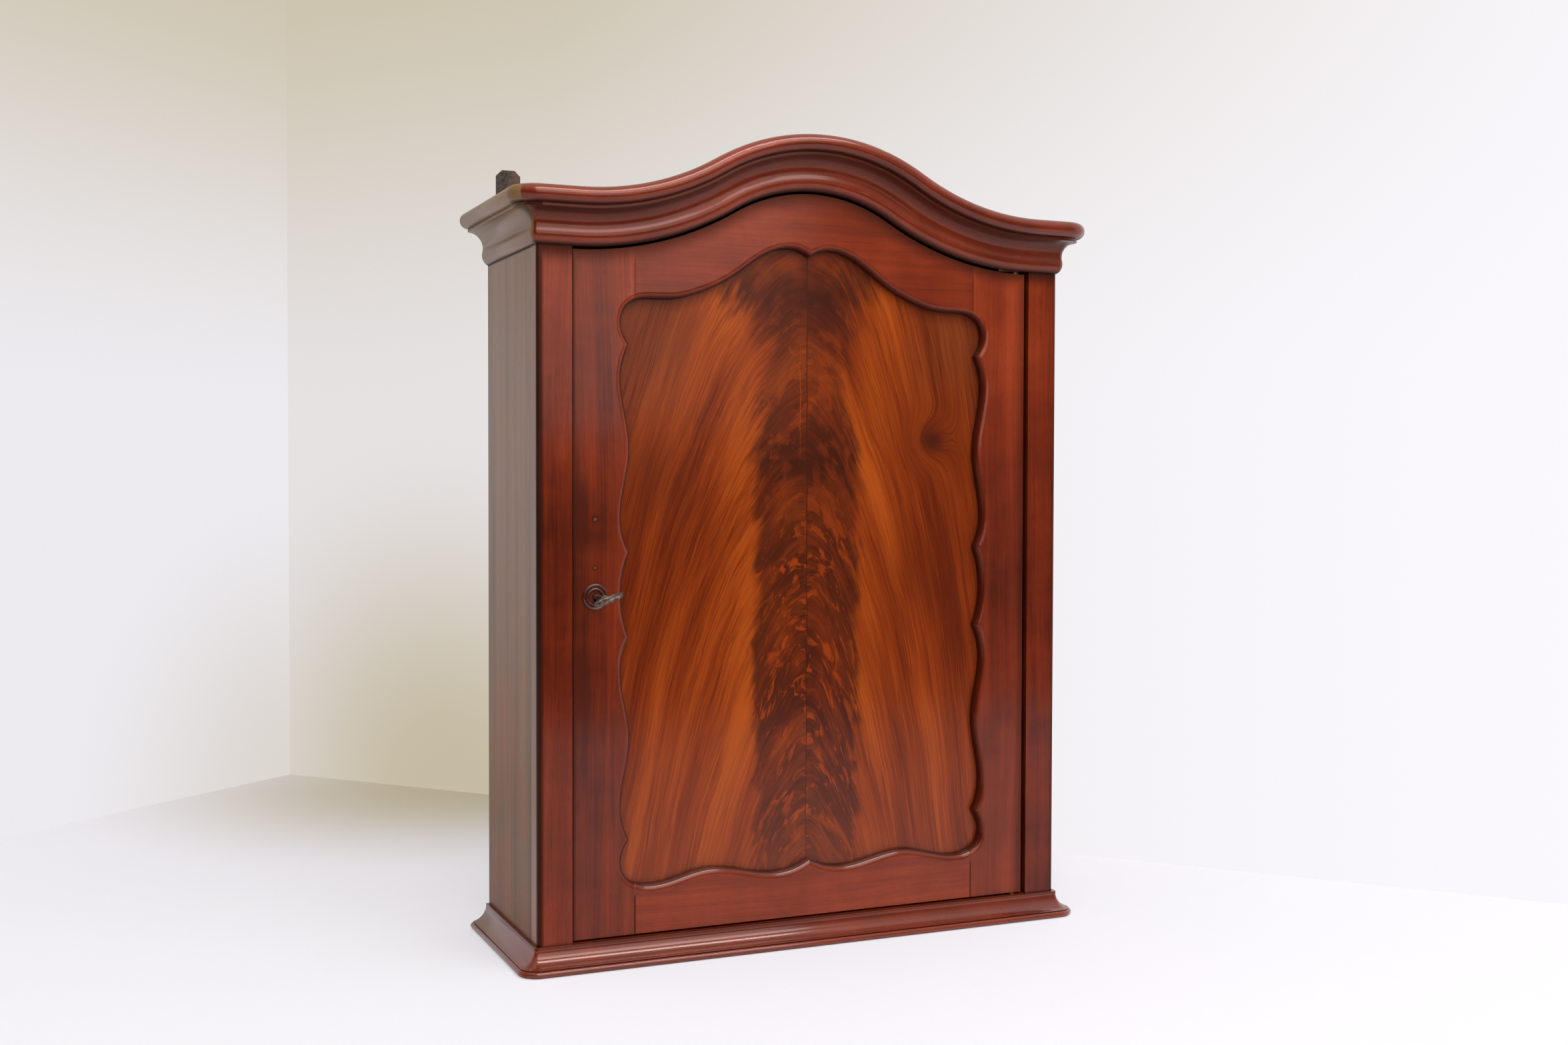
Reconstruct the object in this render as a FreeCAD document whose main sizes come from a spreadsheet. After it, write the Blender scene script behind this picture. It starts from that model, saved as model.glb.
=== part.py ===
import FreeCAD, Part
import math
import os
import Sketcher
from FreeCAD import Rotation, Vector

# A wall-hung mahogany cabinet: arched cornice, one panelled door, cupboard lock with its key.
# Millimetres. +X is to the right, +Y to the wall, +Z up. The origin is midway on the underside.

SIZES = [
    ("carcass_width", 680, "over the two sides"),
    ("carcass_depth", 222, "stile face to wall"),
    ("body_height", 790, "base top to the level ends of the cornice"),
    ("side_thickness", 18, "side boards"),
    ("bottom_thickness", 20, "bottom board"),
    ("back_thickness", 12, "back boards"),
    ("back_rabbet", 9, "rabbet in each side that takes the back"),
    ("board_gap", 0.8, "open joint between back boards"),
    ("stile_width", 41, "front stiles"),
    ("stile_round", 4, "rounding of the outer front edges"),
    ("arch_rise", 81, "crown above the level ends"),
    ("arch_shoulder", 44, "level run at each end of the arch"),
    ("crown_share", 0.34, "crown radius over both radii of the arch"),
    ("roof_thickness", 5, "bent roof board"),
    ("roof_drop", 5, "roof below the top of the cornice"),
    ("cornice_height", 63, "cornice"),
    ("cornice_step", 25, "square step above the cove, outwards"),
    ("swell_reach", 7.5, "swell at the cornice's foot, outwards"),
    ("swell_height", 12.3, "fullest part of the swell above the foot"),
    ("swell_lean", 0.26, "sine of the backward lean between swell and cove"),
    ("bullnose_radius", 9.9, "half round that ends the cornice"),
    ("base_bead", 4, "radius of the base's half round"),
    ("base_quirk", 1, "quirk above the half round"),
    ("base_cove", 16.5, "reach and height of the base cove"),
    ("base_cove_radius", 20, "radius of the base cove"),
    ("base_lip", 4.5, "square edge above the base cove"),
    ("base_ledge", 4, "flat top of the base"),
    ("shelf_thickness", 14, "shelves"),
    ("shelf_setback", 6, "shelf front behind the stiles"),
    ("shelf_lower_height", 282, "underside of the lower shelf"),
    ("shelf_upper_height", 548, "underside of the upper shelf"),
    ("cleat_width", 14, "shelf cleats, outwards"),
    ("cleat_height", 18, "shelf cleats, upwards"),
    ("cleat_inset", 12, "cleat ends short of the shelf front and the back"),
    ("cleat_bevel", 5, "bevelled lower edge of a cleat"),
    ("stop_width", 22, "door stop"),
    ("stop_lap", 8, "door stop behind the door"),
    ("stop_thickness", 5, "door stop, front to back"),
    ("stop_height", 70, "underside of the door stop"),
    ("stop_length", 180, "door stop, upwards"),
    ("stop_clearance", 0.3, "closed door to its stop"),
    ("hanger_width", 30, "hanging plates"),
    ("hanger_thickness", 4, "hanging plates"),
    ("hanger_inset", 25, "plate middle from the outside of the carcass"),
    ("hanger_rise", 55, "plate top above the level ends of the cornice"),
    ("hanger_length", 150, "hanging plates, upwards"),
    ("hanger_clip", 7, "cut corners of the plates"),
    ("hanger_hole", 5, "radius of the hanging hole"),
    ("hanger_hole_drop", 26, "hole middle below the plate top"),
    ("hanger_screw_foot", 14, "lowest screw above the plate foot"),
    ("hanger_screw_pitch", 28, "between plate screws"),
    ("screw_head", 3.2, "radius of a screw head"),
    ("screw_shank", 1.6, "radius of a screw shank"),
    ("screw_sink", 1.6, "depth of a countersunk head"),
    ("screw_length", 10, "wood screws"),
    ("screw_slot", 0.9, "width of the slot across a screw head"),
    ("screw_slot_depth", 0.7, "depth of that slot"),
    ("screw_fit", 0.05, "hole over screw, on the radius"),
    ("door_thickness", 22, "door frame"),
    ("door_recess", 3, "door face behind the stiles"),
    ("lock_gap", 1.75, "door to stile at the lock side"),
    ("hinge_gap", 5, "door to stile at the hinge side"),
    ("bottom_gap", 2.5, "door to bottom rail"),
    ("top_gap", 3, "door to arch"),
    ("joint_width", 73.6, "door edge to the joint with the rails"),
    ("frame_width", 58.3, "narrowest part of the door stiles"),
    ("foot_rail_width", 55.5, "narrowest part of the bottom door rail"),
    ("head_rail_width", 51, "door head above the panel's corners"),
    ("scallop_depth", 9.8, "cusps beyond the widest opening"),
    ("waist_depth", 10.4, "waist beyond the widest opening"),
    ("corner_lobe", 53.6, "corner to the first cusp"),
    ("corner_turn", 28.7, "corner to the widest point below it"),
    ("corner_drop", 3.7, "fall of the edge from corner to joint"),
    ("middle_lobe", 49.3, "half height of the middle lobe"),
    ("middle_drop", 2, "middle lobe below the middle of the opening"),
    ("lobe_turn", 33, "cusp to the widest point"),
    ("head_shoulder_share", 0.79, "end of the head's level part, share of the rail's half length"),
    ("head_shoulder_rise", 0.8, "head shoulder above the corner"),
    ("head_heel_share", 0.635, "foot of the head's rise, share of the rail's half length"),
    ("head_heel_rise", 9.3, "that foot above the corner"),
    ("head_flank_share", 0.45, "flank of the head, share of the rail's half length"),
    ("head_flank_rise", 29.5, "flank above the corner"),
    ("head_bend_share", 0.279, "upper bend of the head, share of the rail's half length"),
    ("head_bend_rise", 55.8, "upper bend above the corner"),
    ("head_lobe_share", 0.131, "top of each head lobe, share of the rail's half length"),
    ("head_lobe_rise", 66.6, "head lobe above the corner"),
    ("head_cusp_rise", 58, "head cusp above the corner"),
    ("foot_crest_share", 0.586, "crest of the foot, share of the rail's half length"),
    ("foot_trough_share", 0.18, "inner trough of the foot, share of the rail's half length"),
    ("foot_dip_share", 0.934, "outer trough of the foot, share of the rail's half length"),
    ("foot_crest_rise", 12.3, "crest and cusp above the trough"),
    ("edge_round", 7, "moulded edge round the panel"),
    ("panel_depth", 12, "frame face to panel face"),
    ("panel_thickness", 7, "panel"),
    ("panel_lap", 6.5, "panel behind the frame"),
    ("panel_crown", 45, "panel top below the arch"),
    ("panel_clearance", 0.3, "panel in its rebate"),
    ("bead_width", 8, "beads behind the panel"),
    ("tenon_length", 28, "rail tenons"),
    ("tenon_thickness", 7, "rail tenons"),
    ("tenon_shoulder", 6, "tenon inside the rail's edges"),
    ("pivot_inset", 10, "hinge pin from the door's edge"),
    ("pivot_depth", 8, "hinge pin behind the door's face"),
    ("leaf_length", 27, "square end of a hinge leaf to the pin"),
    ("leaf_width", 14, "hinge leaves"),
    ("leaf_thickness", 3, "hinge leaves"),
    ("pin_radius", 3, "hinge pins"),
    ("pin_fit", 0.05, "leaf hole over pin, on the radius"),
    ("pin_end", 1.5, "pin past the leaf"),
    ("collar_radius", 5.5, "collar between the leaves"),
    ("collar_play", 0.1, "collar to leaf"),
    ("leaf_screw_near", 11, "hinge screw from the pin"),
    ("leaf_screw_far", 21, "second hinge screw from the pin"),
    ("lock_height", 424, "key above the underside"),
    ("lock_backset", 26, "key from the door's edge"),
    ("lock_width", 44, "lock plate"),
    ("lock_plate_height", 80, "lock plate"),
    ("lock_case_height", 60, "lock case"),
    ("lock_depth", 11, "lock, front to back"),
    ("lock_plate", 2, "thickness of the lock plate"),
    ("lock_wall", 1.5, "rim of the case"),
    ("lock_selvage", 2.5, "plate on the door's edge"),
    ("lock_cover_plate", 1.2, "cover of the case"),
    ("lock_screw_inset", 5, "lock screws from the plate's edges"),
    ("bolt_lift", 3.6, "bolt above the key's axis"),
    ("bolt_height", 12.6, "bolt"),
    ("bolt_tail", 14, "bolt past the key's axis"),
    ("bolt_travel", 10, "throw of the bolt"),
    ("bolt_play", 0.3, "bolt in its case"),
    ("talon_width", 7, "notch that the key's bit works in"),
    ("talon_top", 7.8, "top of that notch above the key's axis"),
    ("stump_radius", 1.5, "stump that guides the bolt"),
    ("stump_back", 8, "stump from the key, towards the door's edge"),
    ("stump_lift", 12, "stump above the key's axis"),
    ("stump_play", 0.2, "bolt slot over stump"),
    ("spring_sheet", 0.8, "leaf spring"),
    ("spring_radius", 15.4, "bow of the leaf spring"),
    ("strike_thickness", 1.5, "strike plate"),
    ("strike_margin", 14, "strike plate past its slot"),
    ("strike_slack", 0.6, "strike slot over the bolt"),
    ("strike_mortise", 13, "depth of the bolt's mortise"),
    ("ring_radius", 15, "escutcheon"),
    ("ring_hole", 7.5, "hole in the escutcheon"),
    ("ring_plate", 1.6, "flat of the escutcheon"),
    ("ring_bead", 1.5, "radius of the escutcheon's beads"),
    ("keyhole_slot", 1.7, "half width of the keyhole's slot"),
    ("keyhole_play", 0.5, "keyhole over key, on the radius"),
    ("key_shank", 3, "radius of the key's shank"),
    ("key_collar", 4.6, "radius of the key's collar"),
    ("key_collar_length", 5, "collar"),
    ("key_reach", 50, "middle of the bow in front of the door"),
    ("key_bore", 1.55, "radius of the key's bore"),
    ("key_bore_depth", 17, "bore for the drill pin"),
    ("key_tip", 0.6, "key's end to the lock plate"),
    ("drill_pin", 1.5, "radius of the drill pin"),
    ("drill_pin_length", 15, "drill pin"),
    ("bit_reach", 7.2, "bit from the key's axis"),
    ("bit_thickness", 2.4, "bit"),
    ("bit_width", 5.6, "bit, along the key"),
    ("ward_slit", 1, "cut in the bit"),
    ("ward_depth", 2, "cut in the bit"),
    ("bow_end_radius", 7, "end curve of the bow"),
    ("bow_end_spread", 9, "end curve from the key's axis"),
    ("bow_side", 10, "side of the bow from its middle"),
    ("bow_bar", 2.5, "radius of the bow's bar"),
    ("key_tilt", 20, "bow at rest, right end up, in degrees"),
    ("bit_tilt", 10, "bit at rest, right end up, in degrees"),
]

os.makedirs("parts", exist_ok=True)
doc = FreeCAD.newDocument("hanging_cabinet")
dims = doc.addObject("Spreadsheet::Sheet", "dims")
for row, (alias, size, note) in enumerate(SIZES, start=1):
    dims.set(f"A{row}", note)
    dims.set(f"B{row}", str(size))
    dims.setAlias(f"B{row}", alias)
doc.recompute()

# Levels and planes, as expressions over the sheet

HALF = "(dims.carcass_width / 2)"
FRONT = "(-dims.carcass_depth / 2)"
WALL = "(dims.carcass_depth / 2)"
BASE_TOP = "(2 * dims.base_bead + dims.base_quirk + dims.base_cove + dims.base_lip)"
EAVES = f"({BASE_TOP} + dims.body_height)"
CORNICE = "dims.cornice_height"
ROOF = f"({EAVES} + {CORNICE})"
RIM = "(dims.cornice_height - dims.roof_drop - dims.roof_thickness)"
RIM_LEVEL = f"({EAVES} + {RIM})"
INNER = f"({HALF} - dims.side_thickness)"
BACK_EDGE = f"({INNER} + dims.back_rabbet)"
BACK_FACE = f"({WALL} - dims.back_thickness)"
STILE_DEPTH = "(dims.door_recess + dims.door_thickness + dims.stop_clearance)"
STILE_BACK = f"({FRONT} + {STILE_DEPTH})"
OPENING = f"({HALF} - dims.stile_width)"
DOOR_LEFT = f"(-{OPENING} + dims.lock_gap)"
DOOR_RIGHT = f"({OPENING} - dims.hinge_gap)"
DOOR_MID = f"(({DOOR_LEFT} + {DOOR_RIGHT}) / 2)"
DOOR_HALF = f"(({DOOR_RIGHT} - {DOOR_LEFT}) / 2)"
DOOR_FACE = f"({FRONT} + dims.door_recess)"
DOOR_BACK = f"({DOOR_FACE} + dims.door_thickness)"
DOOR_FOOT = f"({BASE_TOP} + dims.bottom_gap)"
DOOR_HEAD = f"({EAVES} - dims.top_gap)"
JOINT = f"({DOOR_HALF} - dims.joint_width)"
WIDEST = f"({DOOR_HALF} - dims.frame_width)"
FOOT_EDGE = f"({DOOR_FOOT} + dims.foot_rail_width)"
HEAD_EDGE = f"({DOOR_HEAD} - dims.head_rail_width)"
PANEL_FACE = f"({DOOR_FACE} + dims.panel_depth)"
PANEL_BACK = f"({PANEL_FACE} + dims.panel_thickness)"
REBATE_HALF = f"({WIDEST} + dims.panel_lap)"
REBATE_FOOT = f"({FOOT_EDGE} - dims.panel_lap)"
PIVOT_X = f"({DOOR_RIGHT} - dims.pivot_inset)"
PIVOT_Y = f"({DOOR_FACE} + dims.pivot_depth)"
KEY_X = f"({DOOR_LEFT} + dims.lock_backset)"
KEY_Z = "dims.lock_height"
LOCK_RIGHT = f"({DOOR_LEFT} + dims.lock_width)"
LOCK_FRONT = f"({DOOR_BACK} - dims.lock_depth)"
PLATE_FACE = f"({DOOR_BACK} - dims.lock_plate)"
COVER_BACK = f"({LOCK_FRONT} + dims.lock_cover_plate)"
BOLT_FOOT = f"({KEY_Z} + dims.bolt_lift)"
BOLT_TOP = f"({BOLT_FOOT} + dims.bolt_height)"
HANGER_TOP = f"({ROOF} + dims.hanger_rise)"
HANGER_FOOT = f"({HANGER_TOP} - dims.hanger_length)"
HANGER_X = f"({HALF} - dims.hanger_inset)"

# The arch: a crown arc and two hollow arcs that meet it, level at both ends

HALF_SPAN = f"({HALF} - dims.arch_shoulder)"
ARCH_RADII = f"(({HALF_SPAN}^2 + dims.arch_rise^2) / (2 * dims.arch_rise))"
CROWN_RADIUS = f"({ARCH_RADII} * dims.crown_share)"
HOLLOW_RADIUS = f"({ARCH_RADII} - {CROWN_RADIUS})"
CROWN_CENTRE = f"({EAVES} + dims.arch_rise - {CROWN_RADIUS})"
HOLLOW_CENTRE = f"({EAVES} + {HOLLOW_RADIUS})"

sub_parts = []


def num(expression):
    """Value of an expression over the sheet."""
    return float(dims.evalExpression(str(expression)))


def finished(piece, label):
    """Name a sub-part; its label names its file."""
    piece.Label = label
    sub_parts.append(piece)
    return piece


def new_body(name):
    return doc.addObject("PartDesign::Body", name)


def sketch_on(body, role, name, shift=("0", "0", "0")):
    """Sketch on one of the body's own planes, shifted within and off that plane."""
    sketch = body.newObject("Sketcher::SketchObject", name)
    plane = next(feature for feature in body.Origin.OriginFeatures if feature.Role == role)
    sketch.AttachmentSupport = [(plane, "")]
    sketch.MapMode = "FlatFace"
    for axis, expression in zip("xyz", shift):
        sketch.setExpression(f"AttachmentOffset.Base.{axis}", expression)
    return sketch


def front_sketch(body, name, depth):
    """Upright sketch (X, Z) at a depth in Y."""
    return sketch_on(body, "XZ_Plane", name, ("0", "0", f"-({depth})"))


def plan_sketch(body, name, level="0"):
    """Level sketch (X, Y) at a height in Z."""
    return sketch_on(body, "XY_Plane", name, ("0", "0", level))


def tie(sketch, constraint, expression):
    """Add a constraint and let the sheet drive it."""
    index = sketch.addConstraint(constraint)
    sketch.setExpression(f"Constraints[{index}]", expression)


def arc_between(start, end, radius, turn):
    """Arc of less than a half circle; turn is 1 to the left of the way, -1 to the right."""
    chord = end - start
    rise = math.sqrt(max(radius ** 2 - (chord.Length / 2) ** 2, 0.0))
    side = Vector(-chord.y, chord.x, 0).normalize() * (turn * rise)
    centre = (start + end) / 2 + side
    first, last = (start, end) if turn > 0 else (end, start)
    angles = [math.atan2(point.y - centre.y, point.x - centre.x) for point in (first, last)]
    return Part.ArcOfCircle(Part.Circle(centre, Vector(0, 0, 1), radius), *angles)


def spline_through(points, first_way=None, last_way=None):
    """Smooth curve through points, leaving and arriving along the given ways."""
    curve = Part.BSplineCurve()
    if first_way is None and last_way is None:
        curve.interpolate(points)
        return curve
    ways = [Vector(0, 0, 0)] * len(points)
    flags = [False] * len(points)
    for index, way in ((0, first_way), (-1, last_way)):
        if way is not None:
            ways[index] = way
            flags[index] = True
    curve.interpolate(Points=points, Tangents=ways, TangentFlags=flags)
    return curve


def outline(sketch, corners, bends, closed=True):
    """Line, arc or curve from each corner to the next, with corners and radii tied to the sheet.

    A bend is None for a line, (radius, turn) for an arc, or a finished curve.
    """
    places = [Vector(num(x), num(y), 0) for x, y in corners]
    count = len(places)
    runs = []
    for index, bend in enumerate(bends):
        start, end = places[index], places[(index + 1) % count]
        if bend is None:
            runs.append((sketch.addGeometry(Part.LineSegment(start, end)), 1, 2))
        elif isinstance(bend, tuple):
            radius, turn = bend
            edge = sketch.addGeometry(arc_between(start, end, num(radius), turn))
            runs.append((edge, 1, 2) if turn > 0 else (edge, 2, 1))
            tie(sketch, Sketcher.Constraint("Radius", edge, num(radius)), radius)
        else:
            edge = sketch.addGeometry(bend)
            sketch.addConstraint(Sketcher.Constraint("Block", edge))
            runs.append((edge, 1, 2))
    fixed = [not (bend is None or isinstance(bend, tuple)) for bend in bends]
    for index in range(count):
        before = index - 1
        joined = closed or index > 0
        here_fixed = index < len(runs) and fixed[index]
        last_fixed = joined and fixed[before]
        if joined and index < len(runs) and not (here_fixed and last_fixed):
            edge, _, last = runs[before]
            following, first, _ = runs[index]
            sketch.addConstraint(Sketcher.Constraint("Coincident", edge, last, following, first))
        if here_fixed or last_fixed:
            continue
        edge, point = (runs[index][0], runs[index][1]) if index < len(runs) else (runs[-1][0], runs[-1][2])
        x, y = corners[index]
        tie(sketch, Sketcher.Constraint("DistanceX", -1, 1, edge, point, places[index].x), x)
        tie(sketch, Sketcher.Constraint("DistanceY", -1, 1, edge, point, places[index].y), y)


def polygon(sketch, corners):
    outline(sketch, corners, [None] * len(corners))


def rectangle(sketch, left, right, low, high):
    polygon(sketch, [(left, low), (right, low), (right, high), (left, high)])


def circle(sketch, x, y, radius):
    """Circle whose middle and radius follow the sheet."""
    place = Vector(num(x), num(y), 0)
    edge = sketch.addGeometry(Part.Circle(place, Vector(0, 0, 1), num(radius)))
    tie(sketch, Sketcher.Constraint("DistanceX", -1, 1, edge, 3, place.x), x)
    tie(sketch, Sketcher.Constraint("DistanceY", -1, 1, edge, 3, place.y), y)
    tie(sketch, Sketcher.Constraint("Radius", edge, num(radius)), radius)


def pad(body, sketch, length, back=False):
    """Pad along the sketch's normal, or against it."""
    feature = body.newObject("PartDesign::Pad", sketch.Name + "_pad")
    feature.Profile = sketch
    feature.setExpression("Length", length)
    feature.Reversed = back
    return feature


def pocket(body, sketch, depth, along=False):
    """Pocket against the sketch's normal, or along it."""
    feature = body.newObject("PartDesign::Pocket", sketch.Name + "_pocket")
    feature.Profile = sketch
    feature.setExpression("Length", depth)
    feature.Reversed = along
    return feature


def turned(body, sketch, angle, back=False):
    """Revolve about the sketch's own upright axis."""
    feature = body.newObject("PartDesign::Revolution", sketch.Name + "_turned")
    feature.Profile = sketch
    feature.ReferenceAxis = (sketch, ["V_Axis"])
    feature.setExpression("Angle", str(angle))
    feature.Reversed = back
    return feature


def box(label, low, high):
    """Board between two corners given as expressions."""
    board = doc.addObject("Part::Box", label)
    for axis, side, start, end in zip("xyz", ("Length", "Width", "Height"), low, high):
        board.setExpression(side, f"({end}) - ({start})")
        board.setExpression(f"Placement.Base.{axis}", start)
    return board


def drilled(base, drills):
    """Piece with the holes for a group of screws."""
    cut = doc.addObject("Part::Cut", base.Name + "_drilled")
    cut.Base = base
    cut.Tool = drills
    return cut


INTO = {"-Y": Rotation(Vector(1, 0, 0), 90), "+Z": Rotation(), "-Z": Rotation(Vector(1, 0, 0), 180)}


def screw(name, place, way, slack):
    """Countersunk screw with its head flush at a place, pointing one way."""
    head = doc.addObject("Part::Cone", name + "_head")
    head.setExpression("Radius1", f"dims.screw_head + {slack}")
    head.setExpression("Radius2", f"dims.screw_shank + {slack}")
    head.setExpression("Height", "dims.screw_sink")
    shank = doc.addObject("Part::Cylinder", name + "_shank")
    shank.setExpression("Radius", f"dims.screw_shank + {slack}")
    shank.setExpression("Height", f"dims.screw_length + {slack}")
    whole = doc.addObject("Part::Fuse", name + "_turned")
    whole.Base = head
    whole.Tool = shank
    if slack == "0":
        whole = slotted(name, whole)
    whole.Placement = FreeCAD.Placement(Vector(), INTO[way])
    for axis, expression in zip("xyz", place):
        whole.setExpression(f"Placement.Base.{axis}", expression)
    return whole


def slotted(name, turned_screw):
    """Slot across the head of a screw."""
    slot = doc.addObject("Part::Box", name + "_slot")
    slot.setExpression("Length", "4 * dims.screw_head")
    slot.setExpression("Width", "dims.screw_slot")
    slot.setExpression("Height", "dims.screw_slot_depth")
    slot.setExpression("Placement.Base.x", "-2 * dims.screw_head")
    slot.setExpression("Placement.Base.y", "-dims.screw_slot / 2")
    cut = doc.addObject("Part::Cut", name)
    cut.Base = turned_screw
    cut.Tool = slot
    return cut


def screw_group(name, places):
    """Screws as one group of solids, and the drills that make their holes."""
    groups = []
    for kind, slack in (("screws", "0"), ("drills", "dims.screw_fit")):
        group = doc.addObject("Part::Compound", f"{name}_{kind}")
        group.Links = [screw(f"{name}_{kind}_{index}", place, way, slack)
                       for index, (place, way) in enumerate(places)]
        groups.append(group)
    return groups


# Arch outlines

def bend_x(offset):
    """Where crown and hollow arcs meet, on the curve that lies offset above the arch."""
    return f"({HALF_SPAN} * ({CROWN_RADIUS} + {offset}) / {ARCH_RADII})"


def arch_z(x, offset):
    """Height of the offset arch at x."""
    reach = abs(num(x))
    if reach >= num(HALF_SPAN):
        return f"({EAVES} + {offset})"
    if reach > num(bend_x(offset)):
        return f"({HOLLOW_CENTRE} - sqrt(({HOLLOW_RADIUS} - {offset})^2 - (abs({x}) - {HALF_SPAN})^2))"
    return f"({CROWN_CENTRE} + sqrt(({CROWN_RADIUS} + {offset})^2 - ({x})^2))"


def arch_run(left, right, offset):
    """Corners and bends of the offset arch from left to right."""
    bend = bend_x(offset)
    breaks = [f"(-{HALF_SPAN})", f"(-{bend})", bend, HALF_SPAN]
    stops = [left] + [stop for stop in breaks if num(left) < num(stop) < num(right)] + [right]
    bends = []
    for start, end in zip(stops, stops[1:]):
        middle = abs(num(start) + num(end)) / 2
        if middle > num(HALF_SPAN):
            bends.append(None)
        elif middle > num(bend):
            bends.append((f"({HOLLOW_RADIUS} - {offset})", 1))
        else:
            bends.append((f"({CROWN_RADIUS} + {offset})", -1))
    return [(x, arch_z(x, offset)) for x in stops], bends


def backwards(run):
    """The same run from right to left."""
    corners, bends = run
    turned_bends = [bend if bend is None else (bend[0], -bend[1]) for bend in reversed(bends)]
    return list(reversed(corners)), turned_bends


def under_arch(sketch, left, right, foot, offset):
    """Outline with upright sides whose top follows the offset arch."""
    corners, bends = backwards(arch_run(left, right, offset))
    outline(sketch, [(left, foot), (right, foot)] + corners, [None, None] + bends + [None])


def arch_strip(sketch, left, right, low, high):
    """Outline between two offsets of the arch."""
    lower, lower_bends = arch_run(left, right, low)
    upper, upper_bends = backwards(arch_run(left, right, high))
    outline(sketch, lower + upper, lower_bends + [None] + upper_bends + [None])


# Carcass

def make_side(name, hand):
    """Side board with a rabbet for the back."""
    body = new_body(name)
    outer = f"({hand} * {HALF})"
    inner = f"({hand} * {INNER})"
    rabbet = f"({hand} * {BACK_EDGE})"
    plan = plan_sketch(body, name + "_plan")
    polygon(plan, [(outer, STILE_BACK), (outer, WALL), (rabbet, WALL), (rabbet, BACK_FACE),
                   (inner, BACK_FACE), (inner, STILE_BACK)])
    pad(body, plan, RIM_LEVEL)
    finished(body, name)


def make_front_stile(name, hand):
    """Front stile with a rounded outer edge; the left one takes bolt and strike plate."""
    body = new_body(name)
    outer = f"({hand} * {HALF})"
    start = f"({hand} * ({HALF} - dims.stile_round))"
    inner = f"({hand} * {OPENING})"
    plan = plan_sketch(body, name + "_plan")
    corners = [(outer, STILE_BACK), (outer, f"({FRONT} + dims.stile_round)"), (start, FRONT),
               (inner, FRONT), (inner, STILE_BACK)]
    outline(plan, corners, [None, ("dims.stile_round", -hand), None, None, None])
    pad(body, plan, RIM_LEVEL)
    if hand < 0:
        recess = sketch_on(body, "YZ_Plane", "strike_recess", ("0", "0", inner))
        strike_outline(recess)
        pocket(body, recess, "dims.strike_thickness")
        mortise = sketch_on(body, "YZ_Plane", "bolt_mortise", ("0", "0", inner))
        bolt_slot(mortise, "dims.strike_slack")
        pocket(body, mortise, "dims.strike_mortise")
    finished(body, name)


def bolt_slot(sketch, slack):
    """Section of the bolt, enlarged, in a sketch of Y and Z."""
    front = f"({COVER_BACK} + dims.bolt_play - {slack})"
    rear = f"({PLATE_FACE} - dims.bolt_play + {slack})"
    rectangle(sketch, front, rear, f"({BOLT_FOOT} - {slack})", f"({BOLT_TOP} + {slack})")


def strike_outline(sketch):
    """Outline of the strike plate, in a sketch of Y and Z."""
    rectangle(sketch, LOCK_FRONT, STILE_BACK, f"({BOLT_FOOT} - dims.strike_margin)",
              f"({BOLT_TOP} + dims.strike_margin)")


def make_strike_plate():
    body = new_body("strike_plate")
    face = sketch_on(body, "YZ_Plane", "strike_face", ("0", "0", f"(-{OPENING})"))
    strike_outline(face)
    pad(body, face, "dims.strike_thickness", back=True)
    slot = sketch_on(body, "YZ_Plane", "strike_slot", ("0", "0", f"(-{OPENING})"))
    bolt_slot(slot, "dims.strike_slack")
    pocket(body, slot, "dims.strike_thickness")
    finished(body, "strike_plate")


def make_arch_rail(drills):
    """Rail between the stiles that carries the arched cornice and the upper hinge."""
    body = new_body("arch_rail_blank")
    face = front_sketch(body, "arch_rail_face", FRONT)
    arch_strip(face, f"(-{OPENING})", OPENING, "0", RIM)
    pad(body, face, STILE_DEPTH, back=True)
    recess = plan_sketch(body, "upper_hinge_recess", EAVES)
    leaf_outline(recess)
    pocket(body, recess, "dims.leaf_thickness", along=True)
    finished(drilled(body, drills), "arch_rail")


def make_bottom_rail(drills):
    """Rail below the door, with the lower hinge let in."""
    body = new_body("bottom_rail_blank")
    plan = plan_sketch(body, "bottom_rail_plan")
    rectangle(plan, f"(-{OPENING})", OPENING, FRONT, STILE_BACK)
    pad(body, plan, BASE_TOP)
    recess = plan_sketch(body, "lower_hinge_recess", BASE_TOP)
    leaf_outline(recess)
    pocket(body, recess, "dims.leaf_thickness")
    finished(drilled(body, drills), "bottom_rail")


def make_bottom_board():
    board = box("bottom_board", (f"(-{INNER})", STILE_BACK, "0"), (INNER, BACK_FACE, "dims.bottom_thickness"))
    finished(board, "bottom_board")


def make_back_board(name, index, hand, drills):
    """Upright back board, topped by the arch; the outer ones take the hanging plates."""
    body = new_body(name + "_blank")
    pitch = f"(2 * {BACK_EDGE} / 3)"
    left = f"(-{BACK_EDGE} + {index} * {pitch} + {min(index, 1)} * dims.board_gap / 2)"
    right = f"(-{BACK_EDGE} + {index + 1} * {pitch} - {min(2 - index, 1)} * dims.board_gap / 2)"
    face = front_sketch(body, name + "_face", BACK_FACE)
    under_arch(face, left, right, "0", RIM)
    pad(body, face, "dims.back_thickness", back=True)
    if hand == 0:
        finished(body, name)
        return
    recess = front_sketch(body, name + "_recess", WALL)
    middle = f"{hand} * {HANGER_X}"
    rectangle(recess, f"({middle} - dims.hanger_width / 2)", f"({middle} + dims.hanger_width / 2)",
              HANGER_FOOT, HANGER_TOP)
    pocket(body, recess, "dims.hanger_thickness", along=True)
    finished(drilled(body, drills), name)


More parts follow.
